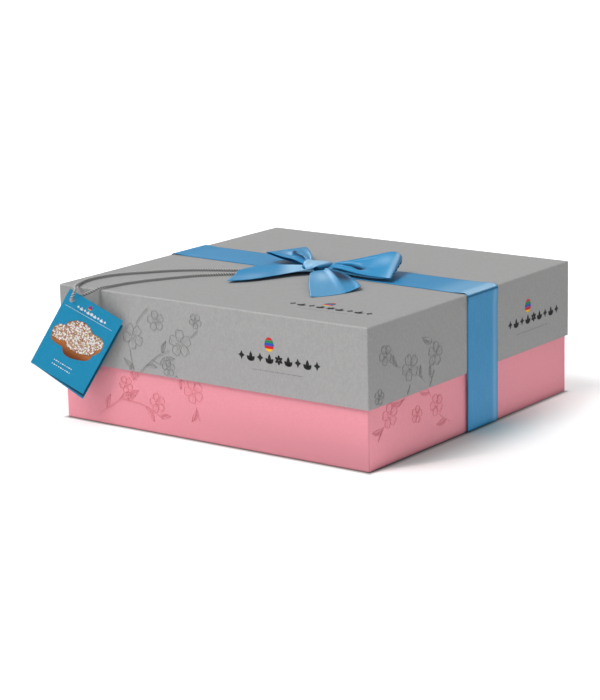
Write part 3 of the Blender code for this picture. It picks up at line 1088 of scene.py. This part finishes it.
# Bow
# The same satin, tied over the band: two loops, two tails with slanting cuts, and a
# gathered wrap for the knot.  The loops stand up on their folds and the tails lie loose.
BOW_THICKNESS = 0.35 * MM
LOOP_RIGHT = [
    (12.6, 6, 7, 4.2, 90, 15),
    (29, 3.4, 9.4, 7.4, 89, 19),
    (49.2, 5.6, 10.9, 14.3, 100, 22),
    (66.8, 10.2, 12.4, 19.7, 105, 23),
    (76.2, 11.9, 12.1, 22.6, 112, 18),
    (78.5, 13.5, 9.8, 23, 111, 13),
    (75.1, 14.6, 6.4, 23.6, 112, 6),
    (60.2, 8.9, 5, 18.5, 107, 4),
    (37.9, 5.1, 4.4, 12.2, 97, 3),
    (13.6, 3.1, 3.4, 6, 90, 2),
]
LOOP_LEFT = [
    (-11.6, 4.1, 6.8, 5.1, 91, 8),
    (-23.9, 11.9, 9.2, 10.4, 78, 1),
    (-39.7, 20.3, 10.2, 16.5, 74, 1),
    (-55, 28.8, 10.6, 22, 79, -2),
    (-59.2, 30.5, 9.2, 22.6, 78, -3),
    (-57.9, 32.6, 6.6, 20.4, 76, -4),
    (-47.8, 29, 5, 17.4, 79, -3),
    (-32.6, 20, 4.4, 12.4, 82, -1),
    (-11.6, 4.1, 4, 4.8, 88, 4),
]
TAIL_FRONT = [
    (14.4, -10.6, 5.2, 7, 40, 4),
    (25.2, -22.1, 6.5, 13.5, 54, 2),
    (41.1, -38, 6, 19.2, 62, 1),
    (55.4, -51.8, 4.3, 22.9, 63, 2),
    (70.6, -67.7, 2.4, 25.5, 67, 3),
]
TAIL_LEFT = [
    (0.5, -6, 4.8, 8, 132, 3),
    (-7.5, -11.4, 5.2, 10.9, 130, 3),
    (-16.8, -19, 4.6, 14.5, 125, 3),
    (-25.8, -29.8, 4.2, 19.6, 123, 3),
    (-37.7, -46.2, 3.7, 24, 117, 3),
    (-47.3, -63.2, 3.1, 19, 112, 3),
]
WRAP = [
    (-1, 12.4, 3.2, 12.5, 4, 0),
    (-2, 11, 6.6, 14, 4, 0),
    (-2.7, 7, 9.3, 15.2, 4, 1),
    (0.1, -3.7, 9.3, 12.2, 16, 0),
    (0.5, -9.6, 7.8, 7.5, 12, 3),
    (-0.6, -11, 4.6, 3.2, 25, 8),
]


def step_at(value, low, high):
    """A soft step from 0 at low to 1 at high."""
    t = min(1.0, max(0.0, (value - low) / (high - low)))
    return t * t * (3 - 2 * t)


def bow_strip(name, rows, steps, across, relief):
    """A stretch of bow ribbon and its picots.

    A row gives the x, y and z of the ribbon's middle and its half width in mm, and the turn
    and tilt of its width in degrees.  relief(s, v) gives its rise and its slide along the
    ribbon in mm, and its crease: a painted shade above 0 and a painted sheen below 0."""
    sections = smooth(rows, steps)
    grid = []
    last = len(sections) - 1
    for index, (x, y, z, half, turn, tilt) in enumerate(sections):
        turn, tilt = math.radians(turn), math.radians(tilt)
        side = Vector((math.cos(turn), math.sin(turn), 0)) * math.cos(tilt)
        side.z = math.sin(tilt)
        middle = Vector((x, y, z))
        before = Vector(sections[max(index - 1, 0)][:3])
        after = Vector(sections[min(index + 1, last)][:3])
        ahead = (after - before).normalized()
        normal = ahead.cross(side).normalized()
        line = []
        for i in range(across + 1):
            v = 2 * i / across - 1
            rise, slide, crease = relief(index / last, v)
            point = (middle + side * (half * v) + normal * rise + ahead * slide) * MM
            point.z = max(point.z, 0.3 * MM) + lid_high.z
            line.append((point, crease))
        grid.append(line)
    return ribbon_sheet(name, grid, False, BOW_THICKNESS), picots(f"{name}_picots", grid, False)


def right_loop_relief(s, v):
    """One deep pleat that crosses from the knot, a pocket, and gathers underneath, with painted shade in
    the pleat, the pocket and the lower layer and painted sheen on the fold and the pleat's lip.
    """
    line = 0.55 - 4.3 * s
    held = step_at(s, 0.02, 0.05) * step_at(s, 0.23, 0.2)
    pleat = bump_at(v, line, 0.07 + 0.3 * s) * held
    lip = bump_at(v, line + 0.3, 0.15) * held
    pocket = bump_at(s, 0.215, 0.03) * bump_at(v, -0.38, 0.14)
    dimple = bump_at(s, 0.25, 0.04) * bump_at(v, 0.1, 0.25)
    fan = 0.3 * math.sin(v * 13) * step_at(s, 0.0, 0.04) * step_at(s, 0.36, 0.08)
    under = step_at(s, 0.57, 0.68) * step_at(s, 1.0, 0.97) * step_at(v, -1.0, -0.75)
    rise = 0.9 * lip - 2.8 * pleat - 1.6 * pocket - 0.7 * dimple + fan
    rise += 1.5 * under * math.sin(v * 16)
    sheen = 0.6 * bump_at(s, 0.45, 0.04) + 0.25 * lip
    sheen += 0.4 * bump_at(s, 0.34, 0.07) * bump_at(v, 0.35, 0.4)
    shade = 0.6 * step_at(s, 0.58, 0.66)
    return rise, 0, min(1.0, 1.7 * pleat + 0.9 * pocket + shade) - sheen * (1 - pleat)


def left_loop_relief(s, v):
    """A long pocket in painted shade with a ridge in painted sheen on each side, gathers underneath, and
    painted shade on the lower layer.
    """
    line = -0.3 + 0.3 * step_at(s, 0.2, 0.27)
    held = step_at(s, 0.04, 0.09) * step_at(s, 0.31, 0.25)
    pocket = bump_at(v, line, 0.15) * held
    swell = bump_at(s, 0.29, 0.06) * bump_at(v, -0.3, 0.22)
    border = bump_at(v, 0.78, 0.16) * step_at(s, 0.05, 0.12) * step_at(s, 0.34, 0.2)
    fan = 0.3 * math.sin(v * 12 + 1) * step_at(s, 0.0, 0.04) * step_at(s, 0.38, 0.08)
    under = step_at(s, 0.57, 0.68) * step_at(s, 1.0, 0.97) * step_at(v, -1.0, -0.75)
    rise = 1.1 * swell + 0.8 * border - 2.5 * pocket + fan
    rise += 1.6 * under * math.sin(v * 16)
    shade = 0.6 * step_at(s, 0.58, 0.66)
    return rise, 0, pocket + shade - 0.45 * swell - 0.4 * border


def front_tail_relief(s, v):
    """A long ridge beside a valley in painted shade, with painted sheen on its other side, and an end whose
    middle lies down on the lid.
    """
    ridge = bump_at(v, 0.26, 0.17) * step_at(s, 0.04, 0.14) * step_at(s, 0.95, 0.6)
    valley = bump_at(v, 0.82, 0.18) * (1 - s) ** 0.7
    flat_end = (1 - v * v) * s ** 3
    rise = 2.3 * ridge - 2.8 * valley - 2.2 * flat_end
    rise += 1.0 * bump_at(v, -0.25, 0.45) * bump_at(s, 0.5, 0.3)
    reach = step_at(v, 0.26, 0.4) * step_at(s, 0.85, 0.5) * (1 - 0.4 * step_at(v, 0.88, 1.0))
    sheen = 0.5 * bump_at(v, -0.25, 0.33) * bump_at(s, 0.46, 0.16)
    sheen += 0.2 * step_at(v, 0.45, 0.25) * step_at(s, 0.15, 0.4)
    return rise, 4.5 * flat_end, 0.95 * reach - sheen * (1 - reach)


def left_tail_relief(s, v):
    """Gathered and with a painted sheen near the knot, then nearly flat with a soft wave at its end."""
    crown = 1.8 * (1 - v * v) * (1 - s) ** 1.5 + 0.5 * (1 - v * v)
    sheen = 0.85 * step_at(s, 0.62, 0.35) + 0.25 * bump_at(s, 0.78, 0.1) * step_at(v, 0.3, -0.6)
    gathers = 0.75 * math.sin(v * 13) * step_at(s, 0.42, 0.12)
    return crown + gathers + 0.4 * s * math.sin(v * 4 + 1), 0, -sheen


def knot_relief(s, v):
    """The wrap is drawn tight: smooth, with a painted sheen, and its edges turned down in painted shade."""
    edge = step_at(abs(v), 0.8, 1.0)
    return 0.15 * math.sin(v * 8 + 0.6) - 4.0 * edge, 0, 0.9 * edge - 0.8 * (1 - edge)


loop_right, loop_right_edges = bow_strip("bow_right_loop", LOOP_RIGHT, 14, 56, right_loop_relief)
loop_left, loop_left_edges = bow_strip("bow_left_loop", LOOP_LEFT, 14, 48, left_loop_relief)
tail_front, tail_front_edges = bow_strip("bow_front_tail", TAIL_FRONT, 18, 48, front_tail_relief)
tail_left, tail_left_edges = bow_strip("bow_left_tail", TAIL_LEFT, 16, 36, left_tail_relief)
wrap, wrap_edges = bow_strip("bow_wrap", WRAP, 10, 40, knot_relief)
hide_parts("bow_loop_right")
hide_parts("bow_loop_left")
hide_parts("bow_tail_front")
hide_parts("bow_tail_left")

KNOT_MIDDLE = Vector((-0.5, 1, 4))
KNOT_SIZE = Vector((20, 14, 6.4))


def build_knot():
    """The rolled middle under the wrap: a closed form with gathers, in painted shade."""
    around, along = 64, 26
    bm = bmesh.new()
    uv_layer = bm.loops.layers.uv.new("ribbon")
    painted_tone_layer = bm.verts.layers.float.new("crease")
    rings = []
    for j in range(along + 1):
        t = 2 * j / along - 1
        end = math.sqrt(max(0.0, 1 - abs(t) ** 5))
        taper = 1 - 0.12 * (t + 1)
        depth = KNOT_SIZE.y / 2 * taper * (0.45 + 0.55 * end)
        height = KNOT_SIZE.z / 2 * taper * (0.35 + 0.65 * end)
        ring = []
        for i in range(around):
            angle = math.tau * i / around
            c, s = math.cos(angle), math.sin(angle)
            y = depth * math.copysign(abs(c) ** 0.85, c)
            z = height * math.copysign(abs(s) ** 0.7, s)
            gather = math.sin(t * 9 + 1.2 * math.sin(angle)) * 0.22 + math.sin(t * 17) * 0.1
            x = KNOT_SIZE.x / 2 * t - 2.2 * c * (1 - t) / 2
            point = KNOT_MIDDLE + Vector((x, y * (1 + gather * 0.05), z * (1 + gather * 0.06)))
            point = point * MM
            point.z += lid_high.z
            vertex = bm.verts.new(point)
            # Painted shade, darker at the ends.
            vertex[painted_tone_layer] = 0.75 + 0.2 * max(0.0, abs(t) - 0.9) * 10
            ring.append(vertex)
        rings.append(ring)
    for j, (first, second) in enumerate(zip(rings, rings[1:])):
        for i in range(around):
            k = (i + 1) % around
            face = bm.faces.new((first[i], second[i], second[k], first[k]))
            face.smooth = True
            corners = ((i, j), (i, j + 1), (i + 1, j + 1), (i + 1, j))
            for loop, (a, b) in zip(face.loops, corners):
                loop[uv_layer].uv = (b / along * 24 * MM, a / around * 50 * MM)
    for ring in (rings[0], rings[-1]):
        middle = sum((vertex.co for vertex in ring), Vector()) / around
        hub = bm.verts.new(middle)
        hub[painted_tone_layer] = 1.0
        for i in range(around):
            bm.faces.new((ring[i], ring[(i + 1) % around], hub))
    bmesh.ops.recalc_face_normals(bm, faces=bm.faces)
    piece = bmesh_object("bow_roll", bm, [satin])
    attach(piece, "root")
    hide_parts("bow_knot")
    return piece


knot = build_knot()


# Tag
# A folded card of stiff matt blue paper with one punched hole hangs on the cord.  Its
# front has a white rule under a row of leaves, a picture of the loaf and two short rows.
TAG_HOLE_AT = Vector((-130.8, -186.1, 118.3)) * MM
TAG_HOLE_FROM_FOLD = 7 * MM
TAG_HOLE_FROM_TOP = 7.5 * MM
TAG_TURN = math.radians(24)
TAG_LEAN = math.radians(31.3)
TAG_SWING = math.radians(-5.8)
TAG_BLUE = (0.012, 0.292, 0.515)
TAG_BLUE_DEEP = (0.008, 0.262, 0.475)
TAG_PAINTED_SHADE = (0.003, 0.07, 0.13)
TAG_WIDTH = 55 * MM
TAG_LENGTH = 82 * MM
TAG_BACK_DROP = 6.2 * MM
TAG_LIFT = 0.05 * MM


def tag_place():
    """The front leaf's own axes: x from the fold, y up from the top edge, z outward."""
    across = Vector((math.cos(TAG_TURN), math.sin(TAG_TURN), 0))
    outward = Vector((math.sin(TAG_TURN), -math.cos(TAG_TURN), 0))
    down = outward * math.sin(TAG_SWING) - Vector((0, 0, math.cos(TAG_SWING)))
    short_side = across * math.cos(TAG_LEAN) + down * math.sin(TAG_LEAN)
    long_side = down * math.cos(TAG_LEAN) - across * math.sin(TAG_LEAN)
    corner = TAG_HOLE_AT - short_side * TAG_HOLE_FROM_FOLD - long_side * TAG_HOLE_FROM_TOP
    return face_matrix(short_side, -long_side, corner)


tag_face = tag_place()


def along_tag(tree, axis):
    """How far a point is along one of the front leaf's own axes, 0 x, 1 y or 2 z."""
    way = tag_face.to_3x3().col[axis]
    reach = add_node(
        tree, "ShaderNodeVectorMath", {0: own_place(tree), 1: way}, operation="DOT_PRODUCT"
    ).outputs["Value"]
    return maths(tree, "SUBTRACT", reach, tag_face.translation.dot(way))


def tag_paper():
    """Blue card with a painted shade between its leaves, just inside the front one's edges."""
    material, tree, shader, colour = paper("blue_card_paper", TAG_BLUE, TAG_BLUE_DEEP, 0.55, 0.03 * MM)
    from_fold = along_tag(tree, 0)
    across = ramp(tree, from_fold, TAG_WIDTH + 2.6 * MM, TAG_WIDTH + 0.2 * MM)
    below = maths(tree, "SUBTRACT", -TAG_LENGTH, along_tag(tree, 1))
    uncovered = product(tree, from_fold, TAG_BACK_DROP / TAG_WIDTH)
    down = ramp(tree, maths(tree, "DIVIDE", below, uncovered), 0.8, 0.6)
    behind = ramp(tree, along_tag(tree, 2), -0.8 * MM, -1.2 * MM)
    # Painted shade between the leaves.
    shade_between = product(tree, across, down, behind)
    tree.links.new(blend(tree, shade_between, colour, TAG_PAINTED_SHADE), shader.inputs["Base Color"])
    return material


dress_node("tag_card", tag_paper())
tag_marks = [([(3, -15.0), (50.5, -13.6), (50.5, -13.85), (3, -15.25)], "white")]
tag_marks += ornament_row((28, -10.4), 30, 3.3, "white")
tag_marks += egg_shapes((24.3, -8), 4.6, ("yellow", "red", "blue", "red"))
tag_marks += dotted_row((26.5, -67), 17.5, 1.0, 9, "white")
tag_marks += dotted_row((26.5, -71.2), 17.5, 1.0, 9, "white")
plates("tag_marks", tag_marks, tag_face, TAG_LIFT)


# Loaf picture
# The loaf is printed on the tag: three lobes with baked brown sides and a top of white
# sugar with almonds and a few green pistachios.
LOAF_SIDE = ((0.40, 0.12, 0.028), (0.56, 0.21, 0.06))
LOAF_SIDE_LOW = (0.17, 0.04, 0.01)
LOAF_TOP = ((0.34, 0.15, 0.07), (0.62, 0.42, 0.30))
LOAF_RIM = ((0.20, 0.07, 0.025), (0.30, 0.12, 0.04))
LOAF_RIM_GROWTH = 1.05
SUGAR = (0.92, 0.90, 0.88)
ALMOND = (0.30, 0.085, 0.02)
PISTACHIO = (0.47, 0.53, 0.03)
LOBE_STEP = 0.02 * MM
RIM_STEP = 0.005 * MM
TOP_STEP = 0.01 * MM
FLECK_SIZES = (0.6, 1.35)
FLECKS = {
    "Material": (520000.0, (1.15, 0.8, 0.1), 0.76 * MM, 0),
    "Second Material": (90000.0, (2.2, 0.8, 0.13), 0.62 * MM, 11),
    "Third Material": (26000.0, (1.4, 0.8, 0.16), 0.62 * MM, 23),
}
LOAF_LOBES = {
    "left": [(5.1, 45.2), (3.8, 40.6), (5.5, 36.5), (9, 33.4), (13.8, 32.7), (16.6, 35.3), (18, 39.5),
             (17.5, 43.9), (15.7, 46.7), (11.5, 47.8), (7.4, 47.9)],
    "right": [(36.8, 27.3), (41.1, 25.9), (45.9, 26), (49.6, 29.1), (50.3, 32.7), (48.7, 35.2),
              (46.6, 37.8), (42, 37)],
    "middle": [(13.2, 31.5), (14, 28.1), (18.5, 24), (24.8, 21.5), (30.7, 22.1), (35.8, 25.3), (41.1, 29.5),
               (44.6, 35.4), (45.8, 40.7), (43.5, 45.4), (38.3, 48.3), (30.7, 50.2), (23.7, 49.5),
               (18.7, 46.2), (17, 41.8), (15.8, 36.4)],
}
LOAF_SIDES = {
    "left": [(4.2, 43), (8, 42), (16, 44), (19.5, 49), (18.4, 52), (12.9, 52.4), (8.1, 51.5), (5.5, 49.7)],
    "right": [(44, 36), (49, 34), (50.7, 33.5), (50.1, 38), (47.7, 42.6), (45.3, 44.2), (43.6, 40)],
    "middle": [(17.6, 42), (24, 46), (37, 45), (45.4, 42), (45.2, 48.9), (42.4, 52.6), (35.6, 56.1),
               (28.1, 58.1), (22.3, 57.2), (18.6, 52.4), (17.7, 47.6)],
}


def closed_smooth(points, steps=5):
    """A smooth closed outline through the points."""
    looped = [points[-1], *points, points[0], points[1]]
    line = smooth(looped, steps)
    return line[steps:-steps - 1]


def crust_material():
    """Baked crust, darker towards its foot."""
    material, tree, shader, colour = paper("loaf_crust", *LOAF_SIDE, 0.55, 0.02 * MM, tooth=1500.0)
    low = ramp(tree, along_tag(tree, 1), -46 * MM, -57 * MM)
    tree.links.new(blend(tree, low, colour, LOAF_SIDE_LOW), shader.inputs["Base Color"])
    return material


def fleck_tree():
    """Three sorts of flecks, scattered over the face of a mesh.

    Each sort has its number a square metre, its shape, its size and its own shift of the seed."""
    sizes = ["Lift", "Seed", "Material", "Second Material", "Third Material"]
    tree, inside, outside = start_tree("flecks", sizes)
    join = add_node(tree, "GeometryNodeJoinGeometry")
    for material, (density, shape, size, shift) in FLECKS.items():
        seed = maths(tree, "ADD", inside.outputs["Seed"], shift)
        scatter = add_node(
            tree, "GeometryNodeDistributePointsOnFaces",
            {"Mesh": inside.outputs["Geometry"], "Density": density, "Seed": seed},
        )
        turn = add_node(tree, "FunctionNodeRandomValue", {"Seed": seed}, data_type="FLOAT")
        turn.inputs[3].default_value = math.tau
        spin = add_node(tree, "ShaderNodeCombineXYZ", {2: turn.outputs[1]})
        grow_by = add_node(tree, "FunctionNodeRandomValue", {"Seed": seed}, data_type="FLOAT")
        grow_by.inputs[2].default_value, grow_by.inputs[3].default_value = FLECK_SIZES
        ball = add_node(
            tree, "GeometryNodeMeshIcoSphere", {"Radius": size, "Subdivisions": 1}
        ).outputs["Mesh"]
        flat = made(tree, "GeometryNodeTransform", {"Geometry": ball, "Scale": shape})
        coloured = made(
            tree, "GeometryNodeSetMaterial", {"Geometry": flat, "Material": inside.outputs[material]}
        )
        placed = made(
            tree, "GeometryNodeInstanceOnPoints",
            {"Points": scatter.outputs["Points"], "Instance": coloured,
             "Rotation": spin.outputs[0], "Scale": grow_by.outputs[1]},
        )
        tree.links.new(placed, join.inputs[0])
    return end_tree(tree, outside, join.outputs[0])


def loaf_picture():
    """The three lobes, their sides and the flecks on top."""
    inks["crust"] = crust_material()
    inks["crumb"] = paper("loaf_top", *LOAF_TOP, 0.6, 0.03 * MM, cloud=900.0, tooth=2200.0)[0]
    inks["rim"] = paper("loaf_rim", *LOAF_RIM, 0.6, 0.02 * MM)[0]
    order = ("left", "right", "middle")
    for layer, part in enumerate(order):
        lift = TAG_LIFT + layer * LOBE_STEP
        side = [(x, -y) for x, y in closed_smooth(LOAF_SIDES[part])]
        plates(f"loaf_side_{part}", [(side, "crust")], tag_face, lift)
        top = [(x, -y) for x, y in closed_smooth(LOAF_LOBES[part])]
        middle = [sum(point[axis] for point in top) / len(top) for axis in (0, 1)]
        rim = [tuple(m + (p - m) * LOAF_RIM_GROWTH for m, p in zip(middle, point)) for point in top]
        plates(f"loaf_rim_{part}", [(rim, "rim")], tag_face, lift + RIM_STEP)
        plates(f"loaf_top_{part}", [(top, "crumb")], tag_face, lift + TOP_STEP)
        mesh = bpy.data.meshes.new("patch")
        inner = [(x * MM, y * MM, 0) for x, y in top]
        mesh.from_pydata(inner, [], [list(range(len(inner)))])
        flecks = grow(add_object("patch", mesh), fleck_sorts, {
            "Seed": 3 + layer, "Material": inks["sugar"], "Second Material": inks["almond"],
            "Third Material": inks["pistachio"],
        }, f"loaf_flecks_{part}")
        flecks.data.transform(tag_face @ Matrix.Translation((0, 0, lift + TOP_STEP)))
        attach(flecks, "root")


for name, colour in (("sugar", SUGAR), ("almond", ALMOND), ("pistachio", PISTACHIO)):
    inks[name] = paper(f"loaf_{name}", colour, tuple(c * 0.8 for c in colour), 0.6, 0.02 * MM)[0]
fleck_sorts = fleck_tree()
loaf_picture()


# Studio
# A wide white floor with a painted shadow at the foot of the box and beside it and a painted
# glow seen only by the camera, a pale sky, a soft lamp high at the front left, a weak fill,
# a low bounce on the right and two gloss lamps.
FLOOR_SIZE = 30.0
FLOOR_COLOUR = (0.93, 0.93, 0.93)
# A painted glow that only the camera sees, stronger behind the box (FLOOR_GLOW_BEHIND).
FLOOR_GLOW = 0.14
SKY_STRENGTH = 0.40
LAMPS = {
    "key": (2.06, 28, (0.265, 0.46, -0.845)),
    "fill": (0.42, 50, (0.30, 0.90, -0.30)),
    "glint": (0.35, 20, (0.757, -0.524, -0.388)),
    "back": (0.8, 24, (-0.23, -0.775, -0.587)),
}
BOUNCE_POWER = 0.05
BOUNCE_SIZE = (0.08, 0.38)
BOUNCE_AT = (0.215, 0, 0.001)
FLOOR_GLOW_BEHIND = 0.45
# Painted shadows on the floor: at the foot of the box and beside its right face.
CONTACT_SHADOW_TONE = 0.3
CONTACT_REACH = 5 * MM
FLOOR_PAINTED_SHADOW_COLOUR = (0.62, 0.74, 0.73)
SHADE_REACH = 75 * MM
SHADE_LENGTH = 160 * MM
SHADE_SLANT = 1.74


def contact_shade(tree, axes):
    """A painted shadow: dark where the floor meets the foot of the box, and one further out."""
    outside = []
    for axis in (0, 1):
        low, high = base_low[axis], base_high[axis]
        offset = maths(tree, "ABSOLUTE", maths(tree, "SUBTRACT", axes[axis], (low + high) / 2))
        outside.append(maths(tree, "SUBTRACT", offset, (high - low) / 2))
    return level(tree, maths(tree, "MAXIMUM", *outside), 0.0, CONTACT_REACH, CONTACT_SHADOW_TONE, 1.0)


def side_shade(tree, axes):
    """A painted shadow on the floor beside the right face, away from the lamp: one there and none further
    out.
    """
    out = maths(tree, "SUBTRACT", axes[0], base_high.x)
    from_front = maths(tree, "SUBTRACT", axes[1], base_low.y)
    inward = maths(tree, "SUBTRACT", from_front, product(tree, out, SHADE_SLANT))
    beside = product(tree, ramp(tree, out, SHADE_REACH, 0.0), ramp(tree, out, -5 * MM, 0.0))
    far = ramp(tree, axes[1], base_high.y, base_high.y - SHADE_LENGTH)
    return product(tree, beside, ramp(tree, inward, -8 * MM, 25 * MM), far)


def build_floor():
    """The floor, not part of the object, a little brighter to the camera than to the box through a painted
    glow, stronger behind the box, with painted shadows at and beside its foot.
    """
    bm = bmesh.new()
    bmesh.ops.create_grid(bm, x_segments=2, y_segments=2, size=FLOOR_SIZE)
    material, tree, shader = new_material("floor_white", 0.9)
    shader.inputs["Specular IOR Level"].default_value = 0.0
    seen = add_node(tree, "ShaderNodeLightPath").outputs["Is Camera Ray"]
    axes = own_axes(tree)
    back = level(tree, axes[1], 0.0, 0.2, FLOOR_GLOW, FLOOR_GLOW_BEHIND)
    contact = contact_shade(tree, axes)
    shade = side_shade(tree, axes)
    colour = blend(tree, shade, FLOOR_COLOUR, FLOOR_PAINTED_SHADOW_COLOUR)
    tone = made(tree, "ShaderNodeVectorMath", {0: colour, "Scale": contact}, operation="SCALE")
    tree.links.new(tone, shader.inputs["Base Color"])
    shader.inputs["Emission Color"].default_value = (1, 1, 1, 1)
    # Painted glow, cut back in the painted shadows.
    glow = product(tree, seen, back, contact, maths(tree, "SUBTRACT", 1.0, shade))
    tree.links.new(glow, shader.inputs["Emission Strength"])
    floor = bmesh_object("floor", bm, [material])
    floor.location.z = -0.2 * MM


def sun(name, strength, softness, direction):
    """A distant soft lamp that shines along a direction."""
    data = bpy.data.lights.new(name, "SUN")
    data.energy = strength
    data.angle = math.radians(softness)
    lamp = add_object(name, data)
    lamp.rotation_euler = Vector(direction).to_track_quat("-Z", "Y").to_euler()
    lamp.visible_diffuse = name not in ("glint", "back")


def bounce():
    """Light thrown up by the floor beside the box."""
    data = bpy.data.lights.new("bounce", "AREA")
    data.shape = "RECTANGLE"
    data.size, data.size_y = BOUNCE_SIZE
    data.energy = BOUNCE_POWER
    lamp = add_object("bounce", data)
    lamp.location = BOUNCE_AT
    lamp.rotation_euler = (math.pi, 0, 0)
    lamp.visible_camera = False


build_floor()
for name, settings in LAMPS.items():
    sun(name, *settings)
bounce()
world = bpy.data.worlds.new("studio")
world.use_nodes = True
world.node_tree.nodes["Background"].inputs["Color"].default_value = (1, 1, 1, 1)
world.node_tree.nodes["Background"].inputs["Strength"].default_value = SKY_STRENGTH
bpy.context.scene.world = world
bpy.context.scene.view_settings.view_transform = "Standard"
